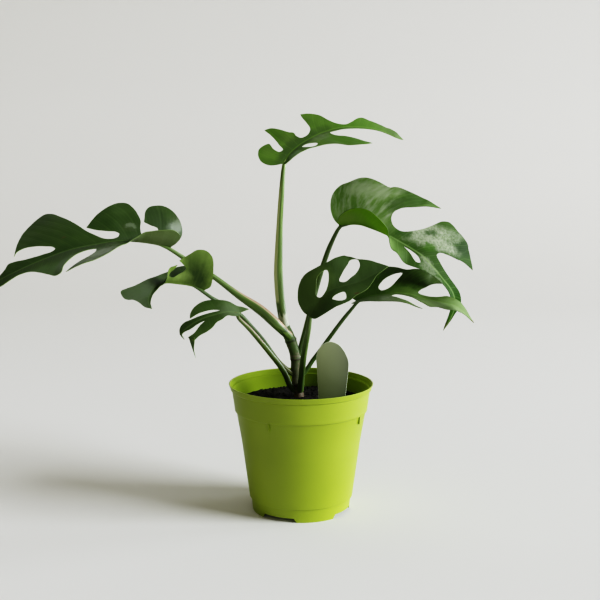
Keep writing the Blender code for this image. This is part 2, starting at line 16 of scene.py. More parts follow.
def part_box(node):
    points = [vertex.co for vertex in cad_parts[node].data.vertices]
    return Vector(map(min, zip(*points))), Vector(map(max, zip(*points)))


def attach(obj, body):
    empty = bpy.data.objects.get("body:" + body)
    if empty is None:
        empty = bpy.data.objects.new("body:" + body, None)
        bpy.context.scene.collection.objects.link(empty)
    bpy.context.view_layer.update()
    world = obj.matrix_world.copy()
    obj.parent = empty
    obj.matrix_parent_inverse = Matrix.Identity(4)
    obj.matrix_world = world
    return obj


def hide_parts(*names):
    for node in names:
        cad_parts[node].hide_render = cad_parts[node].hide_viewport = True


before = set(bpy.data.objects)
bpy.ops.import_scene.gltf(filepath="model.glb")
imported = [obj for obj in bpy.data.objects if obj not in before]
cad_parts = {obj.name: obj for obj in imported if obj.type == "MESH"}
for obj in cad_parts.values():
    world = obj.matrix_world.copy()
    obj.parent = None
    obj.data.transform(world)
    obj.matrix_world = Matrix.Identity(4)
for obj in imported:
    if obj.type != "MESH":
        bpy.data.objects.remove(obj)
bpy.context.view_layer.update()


# Studio. A seamless sweep of pale paper under and behind the plant, lit by the soft warm
# light of the room, two far windows at the right, a ceiling lamp and two weak panels. The
# camera stands 0.9 m away, just above the leaves, and its film has a contrasty curve.
scene = bpy.context.scene
pot_low, pot_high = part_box("pot")
POT_AT = Vector(((pot_low.x + pot_high.x) / 2, (pot_low.y + pot_high.y) / 2, 0.0))
SWEEP = [(-1.6, 0.0), (1.1, 0.0), (1.35, 0.033), (1.56, 0.124), (1.72, 0.265), (1.81, 0.44)]
SWEEP += [(1.85, 0.65), (1.85, 2.6)]
SWEEP_WIDTH = 6.0


class Finish:
    """One material, with short ways to add nodes. Each gives back the new node's result."""

    def __init__(self, name, roughness, shine):
        self.material = bpy.data.materials.new(name)
        self.material.use_nodes = True
        self.tree = self.material.node_tree
        self.shader = self.tree.nodes["Principled BSDF"]
        self.shader.inputs["Roughness"].default_value = roughness
        self.shader.inputs["Specular IOR Level"].default_value = shine
        self.place = self.node("TexCoord").outputs["Object"]

    def node(self, kind, *inputs, **settings):
        """A shader node with its properties set and each input given a value or a wire."""
        made = self.tree.nodes.new("ShaderNode" + kind)
        for key, value in settings.items():
            setattr(made, key, value)
        for key, value in inputs:
            socket = made.inputs[key]
            if isinstance(value, bpy.types.NodeSocket):
                self.tree.links.new(value, socket)
            else:
                socket.default_value = (*value, 1) if socket.type == "RGBA" else value
        return made

    def feed(self, socket, result):
        """A result wired to one of the shader's own sockets."""
        self.tree.links.new(result, self.shader.inputs[socket])

    def bump(self, height, strength, distance):
        """Fine relief on the whole surface."""
        relief = self.node("Bump", ("Height", height), ("Strength", strength), ("Distance", distance))
        self.feed("Normal", relief.outputs["Normal"])

    def axis(self, letter, of=None):
        """One coordinate of the object's own place, or of the vector given."""
        return self.node("SeparateXYZ", ("Vector", of or self.place)).outputs[letter]

    def cloud(self, scale, detail=2.0, roughness=0.5, on=None, result="Fac"):
        """Noise over the object's own place, or over the vector given."""
        inputs = ("Vector", on or self.place), ("Scale", scale), ("Detail", detail), ("Roughness", roughness)
        return self.node("TexNoise", *inputs).outputs[result]

    def maths(self, operation, *values, kind="Math"):
        """A sum on numbers, or with the kind VectorMath on places and colours."""
        return self.node(kind, *enumerate(values), operation=operation).outputs[0]

    def away(self, value, middle):
        """How far a number is from a middle one."""
        return self.maths("ABSOLUTE", self.maths("SUBTRACT", value, middle))

    def spread(self, value, low, high, least=0.0, most=1.0, **settings):
        """A value's way from low to high as a number from least to most, held at both ends."""
        ends = ("From Min", low), ("From Max", high), ("To Min", least), ("To Max", most)
        return self.node("MapRange", ("Value", value), *ends, **settings).outputs[0]

    def ramp(self, share, *stops):
        """A colour that follows a share through (share, colour) stops."""
        made = self.node("ValToRGB", ("Fac", share))
        marks = made.color_ramp.elements
        marks[0].position, marks[1].position = stops[0][0], stops[-1][0]
        for at, _ in stops[1:-1]:
            marks.new(at)
        for mark, (_, colour) in zip(marks, stops):
            mark.color = (*colour, 1)
        return made.outputs["Color"]

    def mixed(self, share, under, over, **settings):
        """One colour laid over another by a share."""
        colours = (6, under), (7, over)
        return self.node("Mix", ("Factor", share), *colours, data_type="RGBA", **settings).outputs[2]

    def scaled(self, colour, factor):
        """A colour made lighter or darker."""
        return self.node("VectorMath", (0, colour), ("Scale", factor), operation="SCALE").outputs[0]


def pull_out(bm, pulled, way):
    """The new points of an extrusion moved this way."""
    fresh = [v for v in pulled["geom"] if isinstance(v, bmesh.types.BMVert)]
    bmesh.ops.translate(bm, vec=way, verts=fresh)


def finished(name, bm, finishes, crease=180.0):
    """The object of a mesh, smooth except at edges sharper than the crease, in degrees."""
    mesh = bpy.data.meshes.new(name)
    bm.to_mesh(mesh)
    bm.free()
    for finish in finishes:
        mesh.materials.append(finish.material)
    mesh.shade_smooth()
    mesh.set_sharp_from_angle(angle=math.radians(crease))
    piece = bpy.data.objects.new(name, mesh)
    scene.collection.objects.link(piece)
    return piece


paper = Finish("pale_paper", 0.9, 0.2)
paper_tone = paper.ramp(paper.cloud(1.3), (0.0, (0.684, 0.667, 0.641)), (1.0, (0.708, 0.691, 0.665)))
# Painted shade: the paper is darkened towards the back wall, where less window light falls.
paper_painted_back_shade = paper.spread(paper.axis("Y"), 0.1, 1.7, interpolation_type="SMOOTHSTEP")
paper.feed("Base Color", paper.mixed(paper_painted_back_shade, paper_tone, (0.92, 0.91, 0.89), blend_type="MULTIPLY"))

bm = bmesh.new()
line = [bm.verts.new((-SWEEP_WIDTH / 2, y, z)) for y, z in SWEEP]
edges = [bm.edges.new(pair) for pair in zip(line, line[1:])]
pull_out(bm, bmesh.ops.extrude_edge_only(bm, edges=edges), (SWEEP_WIDTH, 0.0, 0.0))
bmesh.ops.recalc_face_normals(bm, faces=bm.faces)
if bm.faces[0].normal.z < 0:
    bmesh.ops.reverse_faces(bm, faces=bm.faces)
sweep = finished("paper_sweep", bm, [paper])

room = bpy.data.worlds.new("room")
scene.world = room
room.use_nodes = True
room_light = room.node_tree.nodes["Background"].inputs
room_light["Color"].default_value = (1.0, 0.92, 0.56, 1)
room_light["Strength"].default_value = 0.225

LIGHTS = {  # azimuth from +X, height, distance, size across and up, power
    "wide_window": (-17.0, 22.5, 10.0, 5.2, 2.6, 2200.0),
    "low_window": (20.0, 5.0, 10.0, 3.2, 2.0, 1250.0),
    "ceiling_lamp": (-22.0, 61.0, 2.5, 0.7, 1.1, 6.0),
    "room_fill": (-72.0, 12.0, 4.0, 2.0, 1.5, 20.0),
    "rear_panel": (122.0, 47.0, 3.0, 1.5, 1.1, 5.5),
}
LIGHTS_AIM = POT_AT + Vector((0.0, 0.0, 0.12))
for name, (azimuth, height, away, across, tall, power) in LIGHTS.items():
    azimuth, height = math.radians(azimuth), math.radians(height)
    flat_way = Vector((math.cos(azimuth), math.sin(azimuth), 0.0))
    way = flat_way * math.cos(height) + Vector((0.0, 0.0, math.sin(height)))
    light = bpy.data.lights.new(name, "AREA")
    light.shape = "RECTANGLE"
    light.size = across
    light.size_y = tall
    light.energy = power
    light.color = (0.88, 0.93, 1.0)
    window = bpy.data.objects.new(name, light)
    window.location = LIGHTS_AIM + away * way
    window.rotation_euler = way.to_track_quat("Z", "Y").to_euler()
    scene.collection.objects.link(window)

camera_lens = bpy.data.cameras.new("camera")
camera_lens.sensor_width = 36.0
camera_lens.lens = 66.0
camera = bpy.data.objects.new("camera", camera_lens)
camera.location = POT_AT + Vector((-0.00083, -0.8936, 0.3115))
camera.rotation_euler = (math.radians(81.4), 0.0, 0.0)
scene.collection.objects.link(camera)
bpy.context.scene.camera = camera

FILM_MIDDLE = 0.547
FILM_SLOPE = 1.7
FILM_WHITE = 4.0
view = scene.view_settings
view.view_transform = "Standard"
view.use_curve_mapping = True
view.curve_mapping.white_level = (FILM_WHITE, FILM_WHITE, FILM_WHITE)
film = view.curve_mapping.curves[3]
for bright in (0.03, 0.06, 0.1, 0.17, 0.28, 0.42, 0.6, 0.85, 1.2, 1.8, 2.7):
    film.points.new(bright / FILM_WHITE, 1 / (1 + (FILM_MIDDLE / bright) ** FILM_SLOPE))
film.points[-1].location = (1.0, 1 / (1 + (FILM_MIDDLE / FILM_WHITE) ** FILM_SLOPE))
view.curve_mapping.update()


# Pot. One thin injection-moulded polypropylene shell: flared lip, stiffening band, tapered
# wall, stepped foot with four drainage notches, and four stacking ribs under the band.
POT_HEIGHT = 107.0
POT_OUTSIDE = [(40.6, 0.0), (41.8, 11.0), (43.1, 11.4), (49.5, 59.0), (53.8, 84.2), (55.1, 84.8)]
POT_OUTSIDE += [(55.3, 87.0), (55.7, 90.0), (56.1, 93.0), (56.7, 97.0), (57.3, 101.7), (58.4, 102.5)]
POT_OUTSIDE += [(58.9, 104.4), (60.0, POT_HEIGHT)]
POT_INSIDE = [(58.8, POT_HEIGHT), (57.7, 104.6), (57.3, 103.0), (56.1, 102.2), (55.4, 96.0), (54.9, 92.0)]
POT_INSIDE += [(54.1, 86.6), (52.6, 85.4), (48.3, 59.0), (42.0, 12.6), (40.6, 12.0), (40.2, 6.0), (0.0, 5.6)]
POT_UNDERSIDE = [(0.0, 4.0), (39.4, 4.0), (39.2, 0.0)]
POT_SIDES = 160
POT_CREASE = 35.0
LIP_ROUND = 0.45
STEP_ROUND = 0.3
NOTCHES_FROM = -27.5
NOTCH = (41.0, -1.0, (32.0, 10.0, 4.5), (27.0, 10.0))  # radius, height, size, size at its top
RIBS_FROM = -28.6
RIB = (53.6, 78.4, (1.3, 1.6, 6.2), (1.3, 2.6))
CENTRE = (0.0, 0.0, 0.0)


def turned(profile, steps):
    """A closed (radius, height) profile turned about the pot's axis."""
    bm = bmesh.new()
    points = [bm.verts.new((r, 0.0, z)) for r, z in profile]
    edges = [bm.edges.new(pair) for pair in zip(points, points[1:])]
    about = {"cent": CENTRE, "axis": (0.0, 0.0, 1.0), "angle": math.tau, "use_merge": True}
    bmesh.ops.spin(bm, geom=points + edges, steps=steps, **about)
    bmesh.ops.remove_doubles(bm, verts=bm.verts, dist=0.001)
    bmesh.ops.delete(bm, geom=[e for e in bm.edges if e.is_wire], context="EDGES")
    bmesh.ops.recalc_face_normals(bm, faces=bm.faces)
    return bm


def rounded_off(bm, edges, size, segments, material=-1):
    """The given edges made round, by a bevel of this size in mm."""
    round_off = {"affect": "EDGES", "profile": 0.5, "material": material}
    bmesh.ops.bevel(bm, geom=edges, offset=size, segments=segments, **round_off)


def set_on_pot(name, bm, finishes, crease=40.0):
    """The finished object of a mesh given in millimetres from the centre of the pot's foot."""
    bmesh.ops.scale(bm, vec=(0.001, 0.001, 0.001), verts=bm.verts)
    bmesh.ops.translate(bm, vec=POT_AT, verts=bm.verts)
    return finished(name, bm, finishes, crease)


lime = Finish("lime_polypropylene", 0.48, 0.5)
lime_cloud = lime.cloud(26.0, 3.0)
lime_tone = lime.ramp(lime_cloud, (0.3, (0.204, 0.27, 0.0115)), (0.7, (0.22, 0.286, 0.0135)))
# Painted light: the plastic is lightened towards the foot as bounce from the floor.
painted_floor_bounce = lime.spread(lime.axis("Z"), 0.0, 0.05, 1.14, 1.0)
lime.feed("Base Color", lime.scaled(lime_tone, painted_floor_bounce))
lime.feed("Roughness", lime.spread(lime_cloud, 0.0, 1.0, 0.44, 0.54))
lime.bump(lime.cloud(900.0), 0.12, 0.0002)

# The inside of the same plastic, with painted light and shade along X: painted shade behind the stalks in the
# middle, painted light let through the thin wall at the right.
inner = Finish("lime_inner_wall", 0.8, 0.15)
inner_tone = inner.ramp(inner.cloud(40.0), (0.0, (0.36, 0.51, 0.022)), (1.0, (0.41, 0.58, 0.028)))
inner_painted_greys = [(at, (grey, grey, grey)) for at, grey in ((0.1, 0.4), (0.5, 0.25), (0.72, 0.33), (0.95, 1.0))]
inner_painted_light_and_shade = inner.ramp(inner.spread(inner.axis("X"), -0.008, 0.108), *inner_painted_greys)
inner.feed("Base Color", inner.maths("MULTIPLY", inner_tone, inner_painted_light_and_shade, kind="VectorMath"))

bm = turned(POT_OUTSIDE + POT_INSIDE + POT_UNDERSIDE + POT_OUTSIDE[:1], POT_SIDES)
lip_edges = [e for e in bm.edges if all(abs(v.co.z - POT_HEIGHT) < 0.01 for v in e.verts)]
rounded_off(bm, lip_edges, LIP_ROUND, 3)
steps = [e for e in bm.edges if all(v.co.xy.length > 41.0 and v.co.z < 90.0 for v in e.verts)]
steps = [e for e in steps if abs(e.verts[0].co.z - e.verts[1].co.z) < 0.001 and e.calc_face_angle(0.0) > 0.6]
rounded_off(bm, steps, STEP_ROUND, 2)
for face in bm.faces:
    middle = face.calc_center_median()
    inward = face.normal.xy.dot(middle.xy) < 0.0 or face.normal.z > 0.9 and middle.z < 20.0
    face.material_index = 1 if inward and middle.z < POT_HEIGHT - 0.6 else 0
shell = set_on_pot("pot_shell", bm, [lime, inner], POT_CREASE)


def pot_block(azimuth, radius, height, size, top_size):
    """A block across the radius at this azimuth from the front, narrower at its top."""
    bm = bmesh.new()
    bmesh.ops.create_cube(bm, size=1.0)
    for vert in bm.verts:
        wide, deep = top_size if vert.co.z > 0 else size[:2]
        vert.co.x *= wide
        vert.co.y *= deep
        vert.co.z = height + size[2] * (vert.co.z + 0.5)
    bmesh.ops.translate(bm, vec=(0.0, -radius, 0.0), verts=bm.verts)
    bmesh.ops.rotate(bm, cent=CENTRE, matrix=Matrix.Rotation(math.radians(azimuth), 3, "Z"), verts=bm.verts)
    return bm


blocks = []
for quarter in (0, 90, 180, 270):
    notch, rib = pot_block(NOTCHES_FROM + quarter, *NOTCH), pot_block(RIBS_FROM + quarter, *RIB)
    for bm, how in ((notch, "DIFFERENCE"), (rib, "UNION")):
        blocks.append(set_on_pot(f"pot_block_{len(blocks)}", bm, [lime]))
        step = shell.modifiers.new(blocks[-1].name, "BOOLEAN")
        step.operation = how
        step.solver = "EXACT"
        step.object = blocks[-1]
bpy.context.view_layer.update()
cut_shell = shell.evaluated_get(bpy.context.evaluated_depsgraph_get())
cut_shell = bpy.data.meshes.new_from_object(cut_shell)
shell.modifiers.clear()
shell.data = cut_shell
shell.data.set_sharp_from_angle(angle=math.radians(POT_CREASE))
for block in blocks:
    bpy.data.objects.remove(block)
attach(shell, "root")
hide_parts("pot")


# Soil. Near-black moist peat filled to about 15 mm below the rim, settled a little lower
# at the wall, with loose crumbs and short bark fibres lying on it.
SOIL_TOP = 92.5
SOIL_RADIUS = 54.0
SOIL_PROFILE = [(0.0, 70.0), (48.9, 70.0), (52.3, 86.0), (53.5, 87.4), (SOIL_RADIUS, SOIL_TOP - 1.5)]
SOIL_RINGS = 60
SOIL_SIDES = 180
SOIL_WALL = 53.8
CLOD_HEIGHT = 0.9
CLOD_SIZE = 7.0
SMALL_CLOD_SIZE = 2.1
CRUMBS = 420
CRUMBS_WITHIN = 51.5
CRUMB_SIZES = (0.5, 1.7)
STEM_FOOT = (-1.0, 9.5)
STEM_CLEAR = 6.5


def soil_level(share):
    """The height of the settled soil at this share of its radius."""
    return SOIL_TOP + 0.5 - 2.0 * share**6


peat = Finish("black_peat", 0.95, 0.25)
clods = peat.cloud(260.0, 6.0, 0.7)
peat.feed("Base Color", peat.ramp(clods, (0.35, (0.0035, 0.0034, 0.0028)), (0.75, (0.022, 0.017, 0.011))))
peat.bump(clods, 0.7, 0.0012)

shares = [1 - k / SOIL_RINGS for k in range(1, SOIL_RINGS)]
rings = [(SOIL_RADIUS * share, soil_level(share)) for share in shares]
bm = turned(SOIL_PROFILE + rings + [(0.0, SOIL_TOP + 0.4)], SOIL_SIDES)
for vert in bm.verts:
    to_wall = SOIL_WALL - vert.co.xy.length
    if vert.co.z > SOIL_TOP - 2.2 and to_wall > 0.2:
        lumps = noise.fractal(vert.co / CLOD_SIZE, 0.9, 2.0, 4)
        lumps += 0.6 * noise.noise(vert.co / SMALL_CLOD_SIZE)
        vert.co.z += CLOD_HEIGHT * lumps * min(1.0, to_wall / 2.0)
soil = set_on_pot("soil_fill", bm, [peat], 180.0)
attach(soil, "root")
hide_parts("soil")

draw = np.random.default_rng(7)
bm = bmesh.new()
for k in range(CRUMBS):
    far, way = CRUMBS_WITHIN * math.sqrt(draw.uniform(0.01, 1.0)), draw.uniform(0.0, math.tau)
    size = draw.uniform(*CRUMB_SIZES)
    x, y = far * math.cos(way), far * math.sin(way)
    if math.hypot(x - STEM_FOOT[0], y - STEM_FOOT[1]) < STEM_CLEAR:
        continue
    crumb = bmesh.ops.create_icosphere(bm, subdivisions=1, radius=size)["verts"]
    for vert in crumb:
        vert.co *= 1.0 + 0.35 * noise.noise(vert.co * 1.3 + Vector((k * 3.1, 0.0, 0.0)))
    if k % 6 == 0:
        stretch = (draw.uniform(1.6, 3.4), 0.5, 0.45)
    else:
        stretch = (1.0, draw.uniform(0.7, 1.0), draw.uniform(0.5, 0.8))
    bmesh.ops.scale(bm, vec=stretch, verts=crumb)
    turn = Matrix.Rotation(draw.uniform(0, math.tau), 3, "Z")
    turn = turn @ Matrix.Rotation(draw.uniform(-0.3, 0.3), 3, "Y")
    bmesh.ops.rotate(bm, cent=CENTRE, matrix=turn, verts=crumb)
    height = soil_level(far / SOIL_RADIUS) + 0.25 * size
    bmesh.ops.translate(bm, vec=(x, y, height), verts=crumb)
crumbs = set_on_pot("soil_crumbs", bm, [peat], 60.0)
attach(crumbs, "root")


# Label. A thin round-topped plastic tag pushed into the soil in front of the stem, left
# plain, grey-green with a paler cut edge.
LABEL_OUTLINE = [(-11.0, -22.0), (-10.8, 0.0), (-12.0, 24.0), (-12.8, 33.0), (-12.0, 38.5), (-9.5, 43.0)]
LABEL_OUTLINE += [(-5.5, 46.3), (-1.5, 47.4), (2.5, 46.5), (6.5, 44.2), (10.4, 39.0), (13.3, 32.5)]
LABEL_OUTLINE += [(13.8, 28.0), (13.3, 21.5), (11.2, 2.0), (10.4, -22.0)]
LABEL_THICKNESS = 0.9
LABEL_CORNER = 1.6
LABEL_EDGE = 0.18
LABEL_AT = (25.0, -19.45, 98.0)

tag = Finish("grey_green_tag", 0.5, 0.4)
fade = tag.spread(tag.axis("Z"), 0.09, 0.145)
tag_tone = tag.mixed(fade, (0.132, 0.158, 0.07), (0.225, 0.25, 0.138))
# Painted shade: the tag is darkened towards its right side.
shade = tag.spread(tag.axis("X"), 0.066, 0.088, 1.12, 0.42)
tag.feed("Base Color", tag.scaled(tag_tone, shade))
tag.bump(tag.cloud(420.0, 3.0), 0.08, 0.0002)
tag_edge = Finish("pale_cut_edge", 0.5, 0.5)
edge_tone = tag_edge.ramp(tag_edge.cloud(300.0), (0.0, (0.42, 0.46, 0.33)), (1.0, (0.6, 0.64, 0.5)))
tag_edge.feed("Base Color", edge_tone)

bm = bmesh.new()
face = bm.faces.new([bm.verts.new((x, 0.0, z)) for x, z in LABEL_OUTLINE])
raised = bmesh.ops.extrude_face_region(bm, geom=[face], use_keep_orig=True)
pull_out(bm, raised, (0.0, LABEL_THICKNESS, 0.0))
bmesh.ops.recalc_face_normals(bm, faces=bm.faces)
for side in bm.faces:
    side.material_index = 0 if abs(side.normal.y) > 0.9 else 1
upright = [e for e in bm.edges if abs(e.verts[0].co.y - e.verts[1].co.y) > 0.5]
rounded_off(bm, upright, LABEL_CORNER, 4)
rounded_off(bm, [e for e in bm.edges if e.calc_face_angle(0.0) > 1.2], LABEL_EDGE, 2, 1)
bmesh.ops.translate(bm, vec=LABEL_AT, verts=bm.verts)
label = set_on_pot("plant_tag", bm, [tag, tag_edge])
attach(label, "root")
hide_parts("plant_label")


# Stem. A short leaning stem, green above and corky grey-brown below, with three swollen
# rings where leaves grew, and a brown root crown where it leaves the soil.
STEM_PATH = [(0.0, 9.5, 80.0), (-1.5, 9.5, 93.0), (-3.4, 9.3, 104.0), (-4.2, 9.0, 116.0)]
STEM_PATH += [(-5.0, 9.0, 128.0), (-8.4, 9.0, 140.5), (-13.5, 9.0, 152.0)]
STEM_RADII = [5.0, 5.0, 4.2, 4.0, 4.3, 3.8, 4.2, 4.0, 4.2, 4.4, 4.6, 4.6, 4.4]
STEM_SIDES = 28
STEM_STEP = 0.8
STEM_RINGS = (24.0, 45.5, 62.0)
CURVE_STEPS = 24
STEM_SCARS = {  # distance along the stem in cm, and colour
    2.5: (0.04, 0.03, 0.018),
    4.7: (0.045, 0.034, 0.02),
    6.3: (0.03, 0.035, 0.012),
    5.0: (0.13, 0.11, 0.07),
}


def near_to(far, reach):
    """One at no distance, falling smoothly to nothing past this reach."""
    return np.exp(-((far / reach) ** 2))


def unit(rows):
    return rows / np.linalg.norm(rows, axis=1)[:, None]


def between(t, low, high, start, end):
    return (high - t) / (high - low) * start + (t - low) / (high - low) * end


def curve_through(points, count):
    """Points evenly along a rounded curve through the given ones, and their distances."""
    given = np.array(points, float)
    given = np.vstack([2 * given[0] - given[1], given, 2 * given[-1] - given[-2]])
    fine = []
    for p0, p1, p2, p3 in zip(given, given[1:], given[2:], given[3:]):
        t1 = math.sqrt(np.linalg.norm(p1 - p0))
        t2 = t1 + math.sqrt(np.linalg.norm(p2 - p1))
        t3 = t2 + math.sqrt(np.linalg.norm(p3 - p2))
        t = np.linspace(t1, t2, CURVE_STEPS, endpoint=False)[:, None]
        a1, a2, a3 = between(t, 0, t1, p0, p1), between(t, t1, t2, p1, p2), between(t, t2, t3, p2, p3)
        b1, b2 = between(t, 0, t2, a1, a2), between(t, t1, t3, a2, a3)
        fine.append(between(t, t1, t2, b1, b2))
    fine = np.vstack([*fine, given[-2][None]])
    lengths = np.r_[0, np.cumsum(np.linalg.norm(np.diff(fine, axis=0), axis=1))]
    stations = np.linspace(0, lengths[-1], count)
    return read_along(stations, lengths, fine), stations


def read_along(at, lengths, points):
    """The points at other lengths along their curve."""
    return np.stack([np.interp(at, lengths, points[:, k]) for k in range(3)], 1)


def stalk_tube(points, radii, sides, step, facing, section):
    """A closed tube along a curve. Its section gives a radius factor by angle from the
    facing side and by distance; UV is that angle in turns and the distance in cm."""
    length = curve_through(points, 2)[1][-1]
    path, stations = curve_through(points, max(3, round(length / step)) + 1)
    sizes = np.interp(stations, np.linspace(0, stations[-1], len(radii)), radii)
    tangents = unit(np.gradient(path, axis=0))
    side = np.array(facing, float)
    bm = bmesh.new()
    marks = bm.loops.layers.uv.new("stalk")
    loops, place = [], {}
    for centre, tangent, size, far in zip(path, tangents, sizes, stations):
        side = side - (side @ tangent) * tangent
        side /= np.linalg.norm(side)
        other = np.cross(tangent, side)
        ring = []
        for k in range(sides):
            angle = (k / sides * 2 - 1) * math.pi
            out = math.cos(angle) * side + math.sin(angle) * other
            ring.append(bm.verts.new(centre + size * section(angle, far) * out))
            place[ring[-1]] = (angle / math.tau, far / 10)
        loops.append([bm.edges.new((ring[k - 1], ring[k])) for k in range(sides)])
    for a, b in zip(loops, loops[1:]):
        bmesh.ops.bridge_loops(bm, edges=a + b)
    bmesh.ops.holes_fill(bm, edges=bm.edges, sides=0)
    bmesh.ops.recalc_face_normals(bm, faces=bm.faces)
    for face in bm.faces:
        turns = [place[loop.vert][0] for loop in face.loops]
        seam = max(turns) - min(turns) > 0.5 and len(face.verts) == 4
        for loop in face.loops:
            u, v = place[loop.vert]
            loop[marks].uv = (u + 1 if seam and u < 0 else u, v)
    return bm


cork = Finish("green_and_cork_stem", 0.6, 0.35)
patch = cork.cloud(240.0, 5.0, 0.65)
level = cork.maths("ADD", cork.spread(cork.axis("Z"), 0.088, 0.152), cork.maths("MULTIPLY", patch, 0.55))
skin = cork.ramp(
    level,
    (0.26, (0.26, 0.17, 0.09)),
    (0.38, (0.08, 0.058, 0.034)),
    (0.6, (0.095, 0.1, 0.058)),
    (0.8, (0.085, 0.1, 0.045)),
    (1.0, (0.065, 0.1, 0.026)),
)
skin = cork.mixed(cork.spread(patch, 0.55, 0.62, 0.0, 0.65), skin, (0.15, 0.105, 0.07))
along = cork.axis("Y", cork.node("UVMap", uv_map="stalk").outputs["UV"])
along = cork.maths("ADD", along, cork.maths("MULTIPLY", patch, 0.3))
for scar, tone in STEM_SCARS.items():
    skin = cork.mixed(cork.spread(cork.away(along, scar), 0.1, 0.04, 0.0, 0.8), skin, tone)
cork.feed("Base Color", skin)
cork.bump(patch, 0.5, 0.0006)


def stem_section(angle, far):
    """A radius factor that swells at the rings and is uneven all over."""
    rings = sum(0.12 * near_to(far - at, 0.9) for at in STEM_RINGS)
    uneven = 0.05 * noise.noise(Vector((math.cos(angle), math.sin(angle), far / 6.0)) * 1.5)
    return 1.0 + rings + uneven


bm = stalk_tube(STEM_PATH, STEM_RADII, STEM_SIDES, STEM_STEP, (0.0, -1.0, 0.0), stem_section)
stem = set_on_pot("main_stem", bm, [cork], 60.0)
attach(stem, "root")
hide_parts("stem")


# Leaf blades. Leathery, about 0.4 mm thick, each grown in one piece with its stalk: glossy
# dark green above with a sunken midrib, paler and duller below with a raised midrib, and
# split between the side veins into lobes and holes. Every blade is cut flat, then bent.
LEAVES = {}  # midrib, bends, outline and holes in (s, t), stalk, radii of the stalk
LEAVES["leaf_1"] = (  # Large leaf at the upper left
    [(-105.5, -10, 221), (-121, -15, 225), (-136.5, -20, 227), (-147.5, -24, 227), (-159, -28, 225.5),
     (-181, -35, 221.5), (-203.5, -42, 213.5), (-221.5, -48, 205.5), (-243, -53, 194.5)],
    [(-10, -10, 60, 6, 52, -6), (22, -12, 50, 6, 44, -5), (40, -14, 6, 0, 36, -4), (70, -18, -6, 5, 22, -3),
     (110, -26, 0, 0, 8, -2), (160, -26, 0, 0, 2, 0)],
    [(0, 0, 1), (-5, 5), (-8.5, 12), (-8.5, 20), (-5, 30), (1, 38), (9, 41.5), (16, 38.5), (20, 32), (21, 25),
     (21.5, 19.5, 1), (16.5, 17), (11.5, 15), (11, 12), (15, 7), (19.5, 5), (23, 6), (24.5, 12), (24, 20),
     (26, 28), (29, 36), (32.5, 41.3), (36.5, 42), (42, 39), (49.5, 33.5), (58, 26.5), (63.5, 20.5, 1),
     (58, 16), (48, 11), (42.5, 9.3), (40.5, 7.5), (41.5, 4.5), (44.5, 3), (49, 3), (53, 4.5), (59, 10),
     (64.5, 16.5), (68, 23), (73.5, 33), (79, 43), (83.5, 51), (87.5, 54), (92, 52.5), (100, 47.5),
     (106, 42.5), (112, 34), (116, 27.5), (121.5, 17, 1), (117.5, 21), (111, 21.5), (104, 18.5), (97, 13.5),
     (91.5, 8.5), (91, 6), (94, 4.5), (99.5, 5), (115, 8), (123, 11), (128, 12), (132.5, 8), (138, 4.5),
     (144, 3), (151, 0, 1), (146, -5), (140.5, -8.5), (132, -7), (123.5, -6), (116, -8.5), (109.5, -15),
     (104, -22), (99, -28), (95.5, -28), (90.5, -20), (83.5, -13.5), (74, -8), (66, -6.5), (61.5, -7.5),
     (62, -11), (69, -18), (78, -24), (91, -30.5, 1), (80, -31), (70, -30), (61, -27), (53, -23), (45, -16.5),
     (39, -11.5), (32, -9.5), (23, -13), (12, -17), (2, -18), (-4.5, -13), (-3.5, -6)],
    [],
    [(-105, -9.9, 220.2), (-96, -7, 212.5), (-84, -4, 204), (-71.5, -2, 196), (-51.5, 0, 180.4),
     (-32.5, -0.5, 166.9), (-20.5, -0.5, 156), (-9, 4, 144.6)],
    [1.5, 1.9, 2.1, 2.4, 3.0, 3.7, 3.9, 3.6],
)
LEAVES["leaf_2"] = (  # Curled leaf at the middle left
    [(-77.5, -24, 188), (-87, -26, 192), (-97.5, -29, 194), (-107.5, -33, 195), (-114.5, -38, 192.5),
     (-118.5, -42, 186), (-119, -44, 180.5), (-117, -45, 177)],
    [(-8, -40, 115, 5, 5, 0), (20, -40, 115, 5, 3, 0), (30, -42, 100, 4, 0, 0), (38, -48, 50, 0, 2, 0),
     (46, -55, 20, 0, 0, 0), (62, -55, 10, 0, 0, 0)],
    [(0, 0, 1), (-3.5, -4), (-3, -10), (-1, -17), (2.5, -24), (6, -28.5), (9.5, -30.5), (12.5, -29.5),
     (16, -25.5), (20, -22), (24.5, -19.5, 1), (20, -16), (17.5, -13), (19.5, -10), (23.5, -7.5),
     (27.5, -5.2), (30, -6.5), (29.8, -10.5), (27.5, -13.5), (25.5, -16.5, 1), (31, -15), (34, -11),
     (36.5, -6), (41, -4), (46.5, -2.5), (52, -2), (56, -1.5), (61.5, 0, 1), (58, 3.5), (55.5, 7), (54.2, 12),
     (54.3, 16), (53.8, 19.5), (52, 22.5), (50.5, 19), (48, 14), (43, 9.5), (37, 7.5), (30, 10), (24, 15),
     (15, 19), (6, 19), (-1, 16), (-4, 10), (-3, 4)],
    [],
    [(-77, -24, 187), (-70.5, -23, 181), (-59.5, -19, 174), (-48.8, -14, 165.8), (-40.8, -9, 156),
     (-31, -3, 143), (-19.8, 3, 125.5), (-13.8, 6, 118.5), (-5.5, 9, 111.5)],
    [1.4, 1.7, 1.8, 1.9, 2.0, 2.1, 2.3],
)
